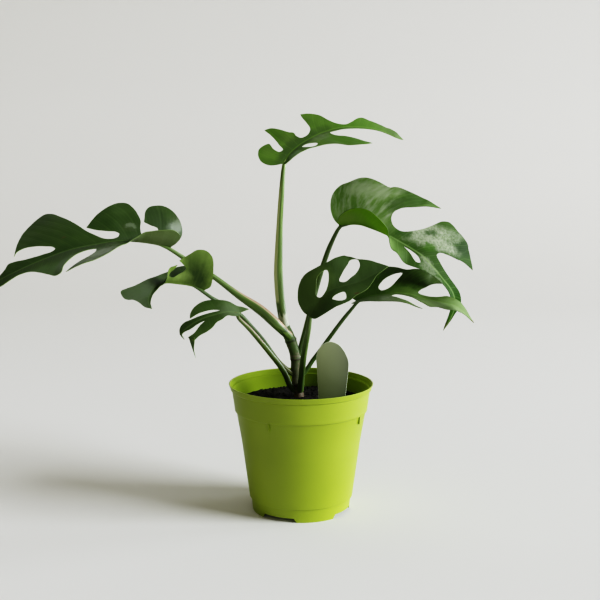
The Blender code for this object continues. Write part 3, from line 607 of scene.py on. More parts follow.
LEAVES["leaf_3"] = (  # Small leaf at the lower left
    [(-49, -36, 171.5), (-57.5, -40, 173), (-66.5, -43, 171.5), (-76, -46, 169), (-83.5, -48, 165.5),
     (-90.5, -50, 160.5), (-93.5, -51, 157), (-93.5, -51, 153.5)],
    [(-8, -38, 4, -3, 0, -4), (20, -38, 4, -4, 0, -4), (42, -36, 0, -14, 0, -6), (75, -30, 0, -14, 0, -6)],
    [(0, 0, 1), (-4, 2), (-10, 5.5, 1), (-5, 7), (0, 8), (6, 11.8), (12.5, 14.3), (19, 16.7), (25.5, 17),
     (33, 14), (37, 9.5), (38.5, 6, 1), (33, 6.5), (26, 6.3), (18.5, 5), (15, 3.2), (23, 3), (31.5, 3.5),
     (39, 4.6), (44, 6), (48, 5), (51, 2), (55.5, -3.5, 1), (50.5, -1), (43.5, -3), (34, -2.8), (29.5, -3),
     (35, -5.2), (42.5, -8), (52, -7.5), (59, -10), (69, -14, 1), (62, -12.5), (55.5, -13), (47, -13),
     (39, -12.5), (32, -13), (26, -11.5), (21, -8), (16, -6.5), (11, -4), (6, -4.5), (0, -3)],
    [],
    [(-49, -35.5, 170.3), (-49.5, -33.5, 167), (-42, -28.5, 158.3), (-33, -21, 146), (-24.7, -14, 134),
     (-17.5, -7, 123), (-12.8, -1, 113.8), (-9.5, 4, 104.5), (-6, 8, 98.5)],
    [1.4, 2.0, 2.2, 2.3, 2.4, 2.5],
)
LEAVES["leaf_4"] = (  # Top leaf
    [(-14, 4, 288), (-9, 12, 295.5), (-1.5, 22, 302), (8.5, 32, 308), (18.5, 42, 312.5), (37.5, 56, 317),
     (64, 70, 315.5), (88.5, 82, 306.5)],
    [(0, 24, 8, -2, 26, 0), (20, 23, 8, -2, 21, 0), (35, 23, 8, -2, 16, 0), (55, 22, 8, -1, 9, 0),
     (110, 20, 4, 0, 4, 0), (140, 20, 0, 0, 0, 0)],
    [(0, 0, 1), (-5, -4), (-8.5, -9), (-8.5, -16), (-3.5, -21.5), (2.5, -23.5), (8, -22), (11, -19.5),
     (8.8, -13.5), (8.5, -8), (11.5, -6.5), (15, -12.5), (19, -22), (21, -31.5, 1), (25, -29.5), (28.5, -23),
     (31.5, -15.5), (33.5, -13), (32.5, -8.5), (34, -5), (38, -4), (46, -6), (50, -9), (52.5, -16), (54, -24),
     (55, -27.5, 1), (62, -25), (68, -20), (71.5, -11.5), (75, -6.5), (82, -3.5), (91, -7.5), (99.5, -14),
     (104, -16), (110.5, -13), (118, -12), (127, -12), (132, -14), (137, -13), (139.5, -6), (141, 0, 1),
     (134, 1.8), (124, 2.2), (110, 2.8), (98, 3.2), (84, 3.5), (68, 3.5), (61, 3.8), (61, 10), (68, 16),
     (74, 22.5), (81, 30), (89, 33.5, 1), (79, 35.5), (70, 35), (60, 32.5), (50, 27), (42, 20.5), (34, 16.4),
     (26, 13.6), (16, 9.5), (8, 6.6), (2, 4.2), (-1.5, 2)],
    [[(24, 4.5), (32, 5), (37, 11), (33, 13.5), (27, 11.5)]],
    [(-14, 3.5, 286.5), (-16.2, 4, 258), (-17.9, 5.5, 225.5), (-18.6, 7.5, 197), (-17.3, 10, 176),
     (-15.5, 11, 163), (-13.2, 9.5, 151)],
    [1.6, 2.2, 2.5, 3.1, 3.7, 3.8, 4.0],
)
LEAVES["leaf_5"] = (  # Variegated leaf at the upper right with a long drooping tip
    [(31.5, 14, 237), (47, 11, 238), (60, 8, 234), (70.5, 6, 229.5), (80, 4, 224.5), (90.5, 2, 218.5),
     (99.5, 0, 212.5), (107, -1, 204.5), (116, -1, 194), (124, 1, 183.5), (127, 3, 173.5), (124.5, 5, 161.5),
     (118.5, 7, 150)],
    [(-8, 20, 42, -5, 42, 0), (22, 20, 46, -5, 46, 4), (40, 22, 44, -5, 22, 18), (54, 24, 36, -4, -8, 8),
     (68, 28, 24, -3, -22, 0), (82, 30, 20, -3, -15, 0), (110, 28, 14, -2, 0, 0), (130, 48, 8, 0, 0, 0),
     (152, 80, 4, 0, 2, 0)],
    [(0, 0, 1), (-3, -3), (-7, -12), (-8, -20), (-6, -32), (-0.5, -39.5), (8, -41.5), (15, -46), (20, -43.5),
     (26, -41.5), (33, -45), (42, -46), (50, -48), (57, -49.5), (66, -52.5, 1), (59.5, -45), (48, -34),
     (41.5, -27), (38, -20), (38.5, -14.5), (42.5, -9.5), (49, -8.5), (56, -12.5), (62, -19.5), (68.5, -32),
     (72.5, -42), (75, -45), (81, -45), (89, -46), (98, -46.5), (106, -44.5), (111, -39), (114, -33.5, 1),
     (101, -26.5), (89, -19), (83, -14), (82.5, -11), (89.5, -8.2), (101, -6.5), (110, -6), (119, -7),
     (127, -6), (134, -2.5), (151, 0, 1), (140, 3), (127, 5), (113, 5), (101, 4.5), (93, 6), (86, 8.5),
     (80, 12), (72, 14.5), (64, 15.5), (56, 15.5), (49, 17.5), (41, 23), (32, 28), (22, 30), (12, 27),
     (4, 19), (0.5, 10), (-0.5, 4)],
    [[(58, 2.5), (65, 4.5), (76, 8), (77.5, 6.5), (74, 3.5), (65, 1.8)]],
    [(31, 14, 236), (25, 14, 222), (18.5, 13, 204.5), (12.5, 12, 184), (6.8, 11.5, 162), (2.2, 11, 144),
     (-1.5, 10.3, 131), (-5, 9.5, 125)],
    [1.5, 2.2, 2.3, 2.3, 2.4, 2.6],
)
LEAVES["leaf_6"] = (  # Leaf at the lower right
    [(45.5, 4, 175), (55, 2, 178.5), (65, 0, 180.5), (81, -3, 182.5), (90.5, -5, 181.5), (100, -7, 178.5),
     (113, -9, 176), (126, -11, 173), (140, -13, 160)],
    [(0, 20, 30, -6, 18, 0), (40, 20, 28, -6, 14, 0), (70, 16, 18, -3, 6, 0), (120, 14, 0, 0, 0, 0)],
    [(0, 0, 1), (-4, -6), (-5, -14), (-1, -22), (7, -28), (16, -31), (26, -32), (34, -29.5), (39.5, -26.5),
     (44.5, -29.5), (52, -31.5), (61, -32), (70.5, -24.5, 1), (64, -21.5), (56.5, -14), (52, -8), (51, -4),
     (57, -3.5), (67, -5), (75, -8.5), (82, -8), (90, -6), (104, 0, 1), (94, 2.5), (86.5, 8.5), (77.5, 14.5),
     (69, 13), (63, 16), (58.5, 12), (51, 8), (41.5, 6), (33, 4), (31, 7), (37, 15.5), (47, 22),
     (58.5, 25.5, 1), (47, 28), (31.5, 27), (16, 22), (5, 14), (-3, 7)],
    [[(37, -22.5), (34, -13), (27.5, -5.5), (21.5, -4.5), (19.5, -7.5), (22.5, -14), (29.5, -20)]],
    [(45, 4.2, 174), (41.8, 6, 167.8), (34.3, 8.5, 158), (22.3, 10.5, 141), (15, 10.5, 130.7),
     (9.6, 10, 123.5), (5, 9.2, 116.5), (-2.5, 9.2, 107)],
    [1.3, 1.7, 1.8, 1.9, 2.0, 2.2],
)
LEAVES["leaf_7"] = (  # Front leaf at the right, standing up and facing forward
    [(6.5, -30, 168), (13.5, -31, 179.5), (22, -31, 188), (33, -30, 192), (47, -27, 195.5), (59, -23, 201),
     (69.5, -18, 206)],
    [(0, 58, 6, -3, 0, -3), (30, 58, 6, -3, 0, -3), (60, 52, 6, -3, 4, -3), (110, 45, 0, 0, 0, 0)],
    [(0, 0, 1), (-0.5, -5), (3.5, -15), (8.5, -19.8), (14, -24), (20.5, -26), (26, -24.6), (33, -25.5),
     (42, -28), (51, -28.5), (58, -25.5), (63, -19.5), (70, -14), (75, -7), (79.5, 0, 1), (73, 1), (67, 2),
     (60, 6), (53, 10), (46, 11.5), (39, 14.5), (30, 15.5), (16, 13.5), (7, 10), (0.5, 5)],
    [[(29.5, -19), (29, -9), (23.5, -1.5), (17, -1.2), (16, -3.5), (20.5, -10), (26.5, -18)],
     [(62, -20), (60.5, -14), (54, -9), (46, -5.6), (39.5, -3), (36.5, -4.8), (40, -10.6), (47.5, -18),
      (57, -22.4)],
     [(37, 5.5), (30.5, 5.5), (24.5, 7.5), (29, 11), (36, 12)]],
    [(6.3, -30.3, 167.5), (6, -27.5, 157), (3.8, -21, 143.5), (1.8, -13, 128.8), (0.6, -5, 114),
     (-0.5, 6, 99)],
    [1.6, 2.2, 2.4, 2.5, 2.6, 2.8],
)
BLADE_THICKNESS = 0.45
BLADE_EDGE = 1.5
OUTLINE_STEPS = 5
MIDRIB_STEPS = 400
MIDRIB_RIDGE = 0.8
MIDRIB_GROOVE = 0.25
PUFF_HEIGHT = 0.09
VEIN_SPACING = 8.5
VEIN_LEAN = 0.6


def rounded(points):
    """A closed outline through (s, t) points. A third value of 1 marks a sharp corner."""
    at = np.array([p[:2] for p in points], float)
    sharp = [len(p) > 2 for p in points]
    count = len(at)
    outline = []
    for i in range(count):
        j = (i + 1) % count
        reach = at[j] - at[i]
        far = np.linalg.norm(reach)
        slopes = []
        for k in (i, j):
            back = at[k] - at[k - 1]
            ahead = at[(k + 1) % count] - at[k]
            near_size, far_size = np.linalg.norm(back), np.linalg.norm(ahead)
            mean = (back / near_size * far_size + ahead / far_size * near_size) / (near_size + far_size)
            slopes.append(reach if sharp[k] else mean * far)
        for u in np.arange(OUTLINE_STEPS) / OUTLINE_STEPS:
            outline.append(
                (2 * u**3 - 3 * u**2 + 1) * at[i]
                + (u**3 - 2 * u**2 + u) * slopes[0]
                + (3 * u**2 - 2 * u**3) * at[j]
                + (u**3 - u**2) * slopes[1]
            )
    return outline


def distances(points, loop):
    """How far each point is from a closed loop, negative where the loop holds it."""
    start = np.array(loop)
    along = np.roll(start, -1, axis=0) - start
    reach = points[:, None] - start[None]
    share = np.clip((reach * along).sum(-1) / (along**2).sum(-1), 0, 1)
    far = np.linalg.norm(reach - share[..., None] * along, axis=-1).min(axis=1)
    above = points[:, None, 1] < start[None, :, 1]
    above_end = points[:, None, 1] < (start + along)[None, :, 1]
    slope = np.where(along[:, 1] == 0, 1e-9, along[:, 1])
    crossing = start[:, 0] + reach[..., 1] / slope * along[:, 0]
    inside = ((above != above_end) & (points[:, None, 0] < crossing)).sum(axis=1) % 2 == 1
    return np.where(inside, -far, far)


def outside(points, loops):
    """How far each point is outside a blade, negative within it and out of its holes."""
    holes = [-distances(points, loop) for loop in loops[1:]]
    return np.max([distances(points, loops[0]), *holes], axis=0)


def flat_blade(outline, holes, edge):
    """A triangulated flat slab, one unit thick, with edges along the midrib."""
    loops = [rounded(loop) for loop in (outline, *holes)]
    low, high = np.min(loops[0], axis=0), np.max(loops[0], axis=0)
    rows = np.arange(math.floor(low[1] / edge), math.ceil(high[1] / edge) + 1)
    stations = np.arange(low[0], high[0], edge)
    grid = np.array([(x + edge / 2 * (row % 2), row * edge) for row in rows for x in stations])
    points = [point for loop in loops for point in loop]
    edges = []
    for loop in loops:
        first = len(edges)
        edges += [(first + k, first + (k + 1) % len(loop)) for k in range(len(loop))]
    points += [*grid[outside(grid, loops) < -0.45 * edge]]
    points, _, faces, *_ = delaunay_2d_cdt([Vector(point) for point in points], edges, [], 0, 0.0001)
    flat = np.array(points)
    centres = np.array([flat[list(face)].mean(axis=0) for face in faces])
    bm = bmesh.new()
    verts = [bm.verts.new((point[0], point[1], 0.0)) for point in points]
    for face, depth in zip(faces, outside(centres, loops)):
        if depth < 0:
            bm.faces.new([verts[k] for k in face])
    bmesh.ops.delete(bm, geom=[v for v in bm.verts if not v.link_faces], context="VERTS")
    if sum(face.normal.z for face in bm.faces) < 0:
        bmesh.ops.reverse_faces(bm, faces=bm.faces)
    raised = bmesh.ops.extrude_face_region(bm, geom=list(bm.faces), use_keep_orig=True)
    pull_out(bm, raised, (0.0, 0.0, 1.0))
    bmesh.ops.recalc_face_normals(bm, faces=bm.faces)
    return bm


def blade_surface(midrib, bends, s, t):
    """Points of the bent sheet. A row of bends is s, roll, then fold and curl of each half."""
    path, stations = curve_through(midrib, MIDRIB_STEPS)
    tangents = unit(np.gradient(path, stations, axis=0))
    uprights = np.zeros_like(tangents)
    up = np.array((0.0, 0.0, 1.0))
    for k, tangent in enumerate(tangents):
        up = up - (up @ tangent) * tangent
        up /= np.linalg.norm(up)
        uprights[k] = up
    within = np.clip(s, 0, stations[-1])
    centre, tangent, upright = [read_along(within, stations, field) for field in (path, tangents, uprights)]
    centre = centre + tangent * (s - within)[:, None]
    rows = np.array(bends, float)
    place = np.clip(s, rows[0, 0], rows[-1, 0])
    row = np.clip(np.searchsorted(rows[:, 0], place, side="right") - 1, 0, len(rows) - 2)
    share = (place - rows[row, 0]) / (rows[row + 1, 0] - rows[row, 0])
    share = share * share * (3 - 2 * share)
    now = rows[row] * (1 - share)[:, None] + rows[row + 1] * share[:, None]
    roll = np.radians(now[:, 1])
    right = t >= 0
    fold = np.radians(np.where(right, now[:, 4], now[:, 2]))
    curl = np.radians(np.where(right, now[:, 5], now[:, 3])) / 10
    curl = np.where(np.abs(curl) < 1e-6, 1e-6, curl)
    out = np.abs(t)
    across = (np.sin(fold + curl * out) - np.sin(fold)) / curl * np.where(right, 1, -1)
    above = (np.cos(fold) - np.cos(fold + curl * out)) / curl
    level = np.cross(tangent, upright)
    sideways = level * np.cos(roll)[:, None] - upright * np.sin(roll)[:, None]
    normal = upright * np.cos(roll)[:, None] + level * np.sin(roll)[:, None]
    return centre + sideways * across[:, None] + normal * above[:, None]


def blade_normal(midrib, bends, s, t):
    """The way out of the upper face at each point."""
    across, along = [
        blade_surface(midrib, bends, s + ds, t + dt) - blade_surface(midrib, bends, s - ds, t - dt)
        for ds, dt in ((0.0, 0.4), (0.4, 0.0))
    ]
    return unit(np.cross(across, along))


def side_veins(s, t):
    """Where on the midrib the side vein through each point starts, in mm."""
    out = np.abs(t)
    return s - VEIN_LEAN * np.clip((s - 8.0) / 65.0, -0.3, 1.0) * out - 0.0015 * out**2


def bent_blade(outline, holes, midrib, bends):
    """The blade in space. UV is the flat place in cm; vein is the side veins' start."""
    bm = flat_blade(outline, holes, BLADE_EDGE)
    flat = np.array([v.co for v in bm.verts])
    s, t, upper = flat[:, 0], flat[:, 1], flat[:, 2] > 0.5
    vein = side_veins(s, t)
    from_vein = np.abs((vein / VEIN_SPACING + 0.5) % 1.0 - 0.5) * VEIN_SPACING
    puff = PUFF_HEIGHT * (1 - near_to(from_vein, 2.4)) * (1 - near_to(t, 3.0))
    tail = np.clip(1 - s / flat[:, 0].max(), 0, 1)
    ridge = MIDRIB_RIDGE * near_to(t, 1.1) * tail
    groove = MIDRIB_GROOVE * near_to(t, 0.9) * tail
    lift = puff + np.where(upper, BLADE_THICKNESS / 2 - groove, -BLADE_THICKNESS / 2 - ridge)
    places = blade_surface(midrib, bends, s, t) + blade_normal(midrib, bends, s, t) * lift[:, None]
    marks = bm.loops.layers.uv.new("leaf")
    starts = bm.verts.layers.float.new("vein")
    bm.verts.index_update()
    for face in bm.faces:
        heights = [v.co.z for v in face.verts]
        face.material_index = 2 if max(heights) - min(heights) > 0.5 else (0 if heights[0] > 0.5 else 1)
        for loop in face.loops:
            loop[marks].uv = (loop.vert.co.x / 10, loop.vert.co.y / 10)
    for vert, place, start in zip(bm.verts, places, vein):
        vert.co = place
        vert[starts] = start
    bmesh.ops.reverse_faces(bm, faces=bm.faces)
    return bm


LEAF_GREENS = {  # upper face dark and light, lower face dark and light
    "leaf_1": ((0.024, 0.048, 0.009), (0.04, 0.072, 0.015), (0.105, 0.15, 0.052), (0.17, 0.225, 0.088)),
    "leaf_2": ((0.034, 0.056, 0.017), (0.055, 0.086, 0.028), (0.13, 0.195, 0.04), (0.18, 0.26, 0.06)),
    "leaf_3": ((0.044, 0.076, 0.02), (0.07, 0.112, 0.034), (0.1, 0.16, 0.04), (0.14, 0.2, 0.06)),
    "leaf_4": ((0.045, 0.092, 0.009), (0.085, 0.16, 0.018), (0.1, 0.17, 0.04), (0.14, 0.22, 0.06)),
    "leaf_5": ((0.1, 0.165, 0.044), (0.165, 0.24, 0.082), (0.15, 0.27, 0.02), (0.2, 0.34, 0.03)),
    "leaf_6": ((0.045, 0.08, 0.014), (0.085, 0.14, 0.028), (0.1, 0.16, 0.05), (0.15, 0.22, 0.08)),
    "leaf_7": ((0.042, 0.07, 0.02), (0.053, 0.088, 0.026), (0.1, 0.16, 0.04), (0.14, 0.2, 0.06)),
}
LEAF_SKINS = {  # light let through, roughness, shine, strength of the veins, pale streaks
    "leaf_1": (0.14, 0.5, 0.5, 1.1, 0.0),
    "leaf_2": (0.2, 0.4, 0.5, 0.75, 0.0),
    "leaf_3": (0.16, 0.4, 0.5, 0.75, 0.0),
    "leaf_4": (0.24, 0.5, 0.5, 0.75, 0.0),
    "leaf_5": (0.3, 0.6, 0.08, 0.75, 0.85),
    "leaf_6": (0.2, 0.42, 0.5, 0.75, 0.0),
    "leaf_7": (0.16, 0.42, 0.5, 0.3, 0.0),
}
PALE = (0.38, 0.41, 0.3)
BROWN_TIP = (0.05, 0.028, 0.014)
LEAF_MARKS = {  # s, t, half length, half width, turn, colour and share of each mark on an upper face
    # leaf_1: the pale marks at -4, 20 and 31, 15 are painted highlights, and the lighter marks at 58, 72 and
    # 110 along the near half are painted sheen.
    "leaf_1": [
        (14, 24, 9, 15, 0, (0.014, 0.03, 0.005), 0.7), (82, 15, 1.6, 1.0, 20, (0.07, 0.045, 0.02), 0.7),
        (-4, 20, 4, 10, 10, (0.2, 0.24, 0.16), 0.5), (34, 16, 18, 12, 0, (0.018, 0.04, 0.004), 0.6),
        (72, -20, 34, 11, 0, (0.06, 0.1, 0.03), 0.6), (58, -17, 10, 5, 0, (0.17, 0.21, 0.14), 0.6),
        (31, 15, 4, 2.5, 20, (0.16, 0.2, 0.13), 0.5), (110, -17, 15, 9, 0, (0.075, 0.13, 0.045), 0.6),
    ],
    # leaf_2: both grey marks on the terminal are painted sheen.
    "leaf_2": [(54, 12, 12, 9, 30, (0.085, 0.108, 0.064), 0.5), (46, 3, 6, 5, 0, (0.08, 0.105, 0.06), 0.6)],
    # leaf_3: the grey-green mark at the base is painted sheen.
    "leaf_3": [(7, 1, 9, 9, 0, (0.12, 0.16, 0.085), 0.5)],
    "leaf_4": [
        (28, -3, 30, 6, 0, (0.025, 0.05, 0.006), 0.7), (96, -5, 24, 12, 0, (0.07, 0.16, 0.01), 0.7),
        (76, 24, 28, 14, 15, (0.06, 0.15, 0.008), 0.75), (139, 0, 6, 8, 0, (0.16, 0.24, 0.09), 0.6),
        # leaf_4: the whitish mark at 10, 7 is painted sheen.
        (10, 7, 7, 4, 0, (0.2, 0.3, 0.16), 0.5),
    ],
    "leaf_5": [
        # leaf_5: the first, greyish-white mark on the basal lobe is painted sheen; the PALE marks are its
        # cream variegation.
        (17, -34, 13, 7, -10, (0.34, 0.38, 0.26), 0.45), (100, -12, 50, 50, 0, (0.042, 0.08, 0.018), 0.92),
        (97, -38, 17, 15, -50, (0.03, 0.062, 0.012), 0.85), (66, -20, 17, 9, -45, PALE, 0.9),
        (52, -9, 6, 4, -30, (0.04, 0.08, 0.02), 0.8), (70, -23, 5, 2.4, -50, (0.03, 0.07, 0.014), 0.7),
        (80, -20, 18, 5, -40, PALE, 0.9), (82, -36, 12, 6, -55, PALE, 0.5), (95, -30, 8, 4, -50, PALE, 0.4),
        (42, -31, 13, 8, -40, (0.045, 0.08, 0.02), 0.75), (100, -42, 15, 7, -55, (0.016, 0.038, 0.006), 0.95),
        (50, -58, 12, 8, -45, (0.03, 0.062, 0.012), 0.8), (75, -11, 5, 3.6, -40, (0.06, 0.13, 0.02), 0.85),
        (83, 0.5, 10, 3, 0, PALE, 0.5), (91, 6, 15, 3, 0, PALE, 0.4),
        (131, 0, 27, 14, 0, (0.02, 0.062, 0.002), 0.97), (50, -50, 16, 9, -45, (0.045, 0.085, 0.02), 0.8),
        (153, 0, 10, 8, 0, BROWN_TIP, 1.0),
    ],
    "leaf_6": [
        # leaf_6: the first, dark mark is a painted shadow of leaf_5.
        (46, -22, 22, 12, -15, (0.02, 0.036, 0.005), 0.75), (40, -1, 15, 5, 0, (0.1, 0.16, 0.042), 0.7),
        (90, 0, 17, 9, 0, (0.21, 0.31, 0.12), 0.65), (103.5, 0, 2.5, 3, 0, (0.12, 0.06, 0.02), 0.9),
    ],
    "leaf_7": [
        (14, -12, 17, 15, 0, (0.1, 0.15, 0.045), 0.75), (45.5, 10.5, 1.3, 0.9, 30, (0.08, 0.035, 0.015), 0.7),
    ],
}
UNDER_MARKS = {
    "leaf_1": [(6, -9, 10, 5, 0, (0.2, 0.25, 0.12), 0.5)],
    # leaf_2: the dark mark is painted shade in the fold of the underside, the pale one painted light let
    # through.
    "leaf_2": [(8.5, -9, 8, 16, 25, (0.018, 0.034, 0.006), 0.9), (24, -7, 9, 3.2, 0, (0.24, 0.32, 0.1), 0.6)],
    "leaf_5": [
        # leaf_5: the first, pale mark is painted sheen, the second, vivid one painted light let through.
        (8, 13, 12, 9, 0, (0.27, 0.35, 0.13), 0.5), (42, 13, 15, 8, -15, (0.27, 0.46, 0.02), 0.7),
        (140, 0, 26, 14, 0, (0.04, 0.11, 0.004), 0.9), (153, 0, 9, 8, 0, BROWN_TIP, 1.0),
    ],
}
GLOSSY = {  # s, t, half length, half width, turn and share of the waxy parts that shine
    "leaf_1": [(-3, 22, 6, 12, 10, 1.0), (62, -22, 30, 11, 0, 0.5), (32, 14, 5, 4, 0, 1.0)],
    "leaf_4": [(26, -11, 7, 6, 20, 0.9), (5, -16, 8, 4, 0, 0.7), (48, 6, 14, 4, 0, 0.4)],
    "leaf_5": [(18, -36, 13, 5, -10, 0.5)],
    "leaf_7": [(55, -22, 8, 5, 0, 0.2)],
}
DARK_EDGED = ("leaf_5", "leaf_6")


def spot_share(finish, place, spot, soft, share):
    """How far a point lies inside an oval spot given by s, t, half length, half width, turn."""
    s, t, length, width, turn = spot
    oval = finish.node(
        "Mapping",
        ("Vector", place),
        ("Location", (s / 10, t / 10, 0.0)),
        ("Rotation", (0.0, 0.0, math.radians(turn))),
        ("Scale", (length / 10, width / 10, 1000.0)),
        vector_type="TEXTURE",
    )
    reach = finish.node("VectorMath", (0, oval.outputs[0]), operation="LENGTH").outputs["Value"]
    return finish.spread(reach, 1 + soft, 1 - soft, 0.0, share)


def leaf_finish(name, greens, skin, marks=(), soft=0.3, glossy=()):
    """A leaf face: two greens by a cloud, painted shade along the midrib, pale streaks, torn marks, veins and
    light let through.
    """
    dark, light = greens
    glow, roughness, shine, veined, streaks = skin
    leaf = Finish(name, roughness, shine)
    flat = leaf.node("UVMap", uv_map="leaf").outputs["UV"]
    cloud = leaf.cloud(55.0, 4.0)
    start = leaf.node("Attribute", attribute_name="vein").outputs["Fac"]
    start = leaf.maths("ADD", start, leaf.spread(cloud, 0.0, 1.0, -0.9, 0.9))
    across = leaf.axis("Y", flat)
    off = leaf.maths("ABSOLUTE", across)
    colour = leaf.ramp(cloud, (0.3, dark), (0.72, light))
    # Painted shade in the hollow along the midrib: darker within 9 mm of it.
    colour = leaf.scaled(colour, leaf.spread(off, 0.0, 0.9, 0.75, 1.0))
    drawn_out = ("X", leaf.maths("MULTIPLY", start, 0.34)), ("Y", leaf.maths("MULTIPLY", across, 0.55))
    streak = leaf.cloud(1.0, 4.0, 0.6, on=leaf.node("CombineXYZ", *drawn_out).outputs[0])
    if streaks:
        far_half = leaf.spread(across, 0.1, -1.6, 0.0, streaks)
        share = leaf.maths("MULTIPLY", leaf.spread(streak, 0.44, 0.72), far_half)
        near_stalk = leaf.spread(leaf.axis("X", flat), 4.6, 3.4)
        colour = leaf.mixed(leaf.maths("MULTIPLY", share, near_stalk), colour, PALE)
    torn = leaf.cloud(230.0, 6.0, 0.65, result="Color")
    torn = leaf.maths("SUBTRACT", torn, (0.5, 0.5, 0.5), kind="VectorMath")
    torn = leaf.maths("ADD", flat, torn, kind="VectorMath")
    speckle = leaf.spread(leaf.cloud(480.0, 5.0, 0.7), 0.36, 0.6, 0.3)
    for *spot, stain, share in marks:
        inside = spot_share(leaf, torn, spot, soft, share)
        if stain == PALE:
            inside = leaf.maths("MULTIPLY", inside, speckle)
        colour = leaf.mixed(inside, colour, stain)
    main = leaf.spread(leaf.maths("PINGPONG", start, VEIN_SPACING / 2), 0.9, 0.1, 0.0, 0.13 * veined)
    fine = leaf.spread(leaf.maths("PINGPONG", start, VEIN_SPACING / 8), 0.5, 0.1, 0.0, 0.06 * veined)
    rib = leaf.spread(off, 0.1, 0.03, 0.0, 0.45 * veined)
    lines = leaf.maths("MAXIMUM", leaf.maths("MAXIMUM", main, fine), rib)
    colour = leaf.mixed(lines, colour, [min(1.0, 1.9 * tone + 0.02) for tone in light])
    leaf.feed("Base Color", colour)
    cells = leaf.maths("MULTIPLY", leaf.cloud(700.0, 3.0), 0.12)
    leaf.bump(leaf.maths("SUBTRACT", leaf.maths("ADD", cells, streak), lines), 0.3, 0.0004)
    leaf.feed("Roughness", leaf.spread(cloud, 0.0, 1.0, roughness - 0.08, roughness + 0.08))
    if glossy:
        waxy = 0.0
        for *spot, share in glossy:
            waxy = leaf.maths("MAXIMUM", waxy, spot_share(leaf, torn, spot, 0.4, share))
        leaf.feed("Coat Weight", waxy)
        leaf.shader.inputs["Coat Roughness"].default_value = 0.2
        leaf.shader.inputs["Coat IOR"].default_value = 1.8
    through = leaf.node("BsdfTranslucent", ("Color", leaf.mixed(0.5, colour, (0.2, 0.44, 0.03))))
    blend = leaf.node("MixShader", (0, glow), (1, leaf.shader.outputs[0]), (2, through.outputs[0]))
    leaf.tree.links.new(blend.outputs[0], leaf.tree.nodes["Material Output"].inputs["Surface"])
    return leaf


MARGIN_GREENS = ((0.12, 0.18, 0.05), (0.17, 0.24, 0.075))
leaf_margin = leaf_finish("pale_leaf_margin", MARGIN_GREENS, (0.2, 0.45, 0.4, 1.0, 0.0))
for name, (midrib, bends, outline, holes, *_) in LEAVES.items():
    greens, skin = LEAF_GREENS[name], LEAF_SKINS[name]
    upper = leaf_finish(f"{name}_upper_face", greens[:2], skin, LEAF_MARKS[name], glossy=GLOSSY.get(name, ()))
    glow, roughness, shine, *_ = skin
    skin, marks = (glow + 0.08, roughness + 0.14, 0.6 * shine, 0.4, 0.0), UNDER_MARKS.get(name, ())
    lower = leaf_finish(f"{name}_lower_face", greens[2:], skin, marks, soft=0.7)
    margin = upper if name in DARK_EDGED else leaf_margin
    bm = bent_blade(outline, holes, midrib, bends)
    blade = set_on_pot(f"{name}_leaf", bm, [upper, lower, margin], 70.0)
    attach(blade, "root")
    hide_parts(f"{name}_blade")


# Leaf stalks. Firm, smooth and lighter green than the blades, with a shallow channel on
# the upper side and the remains of a papery sheath at the foot of the older ones.
STALK_RINGS = {  # from and to in cm, colour
    "leaf_1": [(12.5, 12.7, (0.03, 0.05, 0.01))],
    "leaf_4": [
        (0.0, 1.0, (0.26, 0.34, 0.12)), (13.0, 13.2, (0.06, 0.09, 0.02)), (13.4, 20.0, (0.35, 0.36, 0.25)),
    ],
}
STALK_LOOKS = {  # dark and light green, old sheath's colour, middle, half width in turns, from and to in cm
    "leaf_1": ((0.05, 0.09, 0.014), (0.115, 0.18, 0.035), (0.4, 0.27, 0.17), 0.0, 0.1, 7.0, 13.4),
    "leaf_2": ((0.03, 0.055, 0.012), (0.07, 0.115, 0.026), (0.1, 0.11, 0.03), 0.1, 0.2, 9.5, 13.0),
    "leaf_3": ((0.04, 0.065, 0.012), (0.1, 0.14, 0.03), (0.13, 0.08, 0.04), 0.12, 0.08, 0.6, 4.6),
    "leaf_4": ((0.06, 0.105, 0.016), (0.125, 0.2, 0.045), (0.4, 0.44, 0.2), 0.08, 0.17, 2.5, 12.4),
    "leaf_5": ((0.034, 0.066, 0.012), (0.082, 0.128, 0.025), (0.1, 0.12, 0.03), 0.0, 0.1, 5.0, 12.0),
    "leaf_6": ((0.03, 0.058, 0.01), (0.074, 0.12, 0.023), (0.1, 0.12, 0.03), 0.0, 0.1, 4.0, 9.0),
    "leaf_7": ((0.036, 0.066, 0.014), (0.105, 0.155, 0.04), (0.12, 0.15, 0.06), 0.0, 0.1, 20.0, 20.0),
}
STALK_SIDES = 20
STALK_STEP = 1.5
UNDER_BLADE = np.array([9.0, 4.5, 1.2])  # where along the midrib a stalk runs on under its blade, and how low
UNDER_BY = np.array([0.5, 0.9, 1.3])


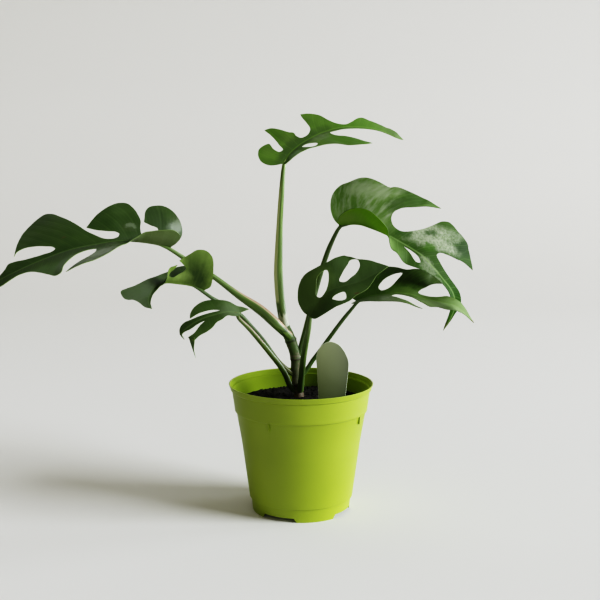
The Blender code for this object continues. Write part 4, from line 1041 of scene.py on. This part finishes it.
def stalk_finish(name, dark, light, dry, middle, half, start, end, rings):
    """A stalk's fibrous green skin with the strip of old sheath between two pale edges, lightened in part as
    painted rim light.
    """
    skin = Finish(name, 0.42, 0.5)
    turn_and_far = skin.node("UVMap", uv_map="stalk").outputs["UV"]
    stretched = skin.node("Mapping", ("Vector", turn_and_far), ("Scale", (14.0, 0.35, 1.0)))
    fibres = skin.cloud(1.0, 3.0, on=stretched.outputs["Vector"])
    plain_far = skin.axis("Y", turn_and_far)
    far = skin.maths("ADD", plain_far, skin.maths("MULTIPLY", fibres, 3.0))
    aside = skin.away(skin.axis("X", turn_and_far), middle)
    cover = skin.spread(aside, half, half * 0.8)
    below = skin.spread(far, start + 1.0, start + 2.5)
    above = skin.spread(plain_far, end, end - 0.3)
    share = skin.maths("MULTIPLY", skin.maths("MULTIPLY", cover, below), above)
    # The pale edges are partly the sheath's own margin and partly painted rim light.
    pale = (0.5 * dry[0] + 0.17, 0.5 * dry[1] + 0.2, 0.5 * dry[2] + 0.12)
    strip = skin.mixed(skin.spread(aside, half * 0.6, half * 0.8), dry, pale)
    colour = skin.mixed(share, skin.ramp(fibres, (0.32, dark), (0.7, light)), strip)
    for low, high, tone in rings:
        reach = (high - low) / 2
        band = skin.spread(skin.away(far, (low + high) / 2 + 1.5), reach + 0.15, reach, 0.0, 0.85)
        colour = skin.mixed(band, colour, tone)
    skin.feed("Base Color", colour)
    skin.bump(fibres, 0.25, 0.0003)
    return skin


def stalk_section(angle, far):
    """A radius factor with a channel on the facing side between two low ridges."""
    return 1.0 - 0.12 * near_to(angle, 0.5) + 0.04 * near_to(abs(angle) - 0.9, 0.3)


def sheathed_section(angle, far):
    """The same with the ridge of an old sheath along its middle."""
    ridge = 0.42 * np.clip((far - 62.0) / 30.0, 0.0, 1.0) * np.clip((134.0 - far) / 20.0, 0.0, 1.0)
    return stalk_section(angle, far) + ridge * near_to(angle - 0.1, 0.45)


for name, (midrib, bends, _, _, stalk, radii) in LEAVES.items():
    facing = (0.2, -0.3, 1.0) if abs(stalk[0][0] - stalk[-1][0]) > 10 else (-0.6, -0.8, 0.0)
    rib = blade_surface(midrib, bends, UNDER_BLADE, 0 * UNDER_BLADE)
    rib -= blade_normal(midrib, bends, UNDER_BLADE, 0 * UNDER_BLADE) * UNDER_BY[:, None]
    path = np.vstack([rib, stalk[1:]])
    steps = np.r_[0, np.cumsum(np.linalg.norm(np.diff(path, axis=0), axis=1))]
    reached = [0.0, steps[1], *np.linspace(steps[2], steps[-1], len(radii))]
    sizes = np.interp(np.linspace(0, steps[-1], 80), reached, [0.5, 1.0, *radii])
    section = sheathed_section if name == "leaf_1" else stalk_section
    skin = stalk_finish(f"{name}_stalk_skin", *STALK_LOOKS[name], STALK_RINGS.get(name, ()))
    bm = stalk_tube(path, sizes, STALK_SIDES, STALK_STEP, facing, section)
    petiole = set_on_pot(f"{name}_stalk", bm, [skin], 60.0)
    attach(petiole, "root")
    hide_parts(f"{name}_petiole")
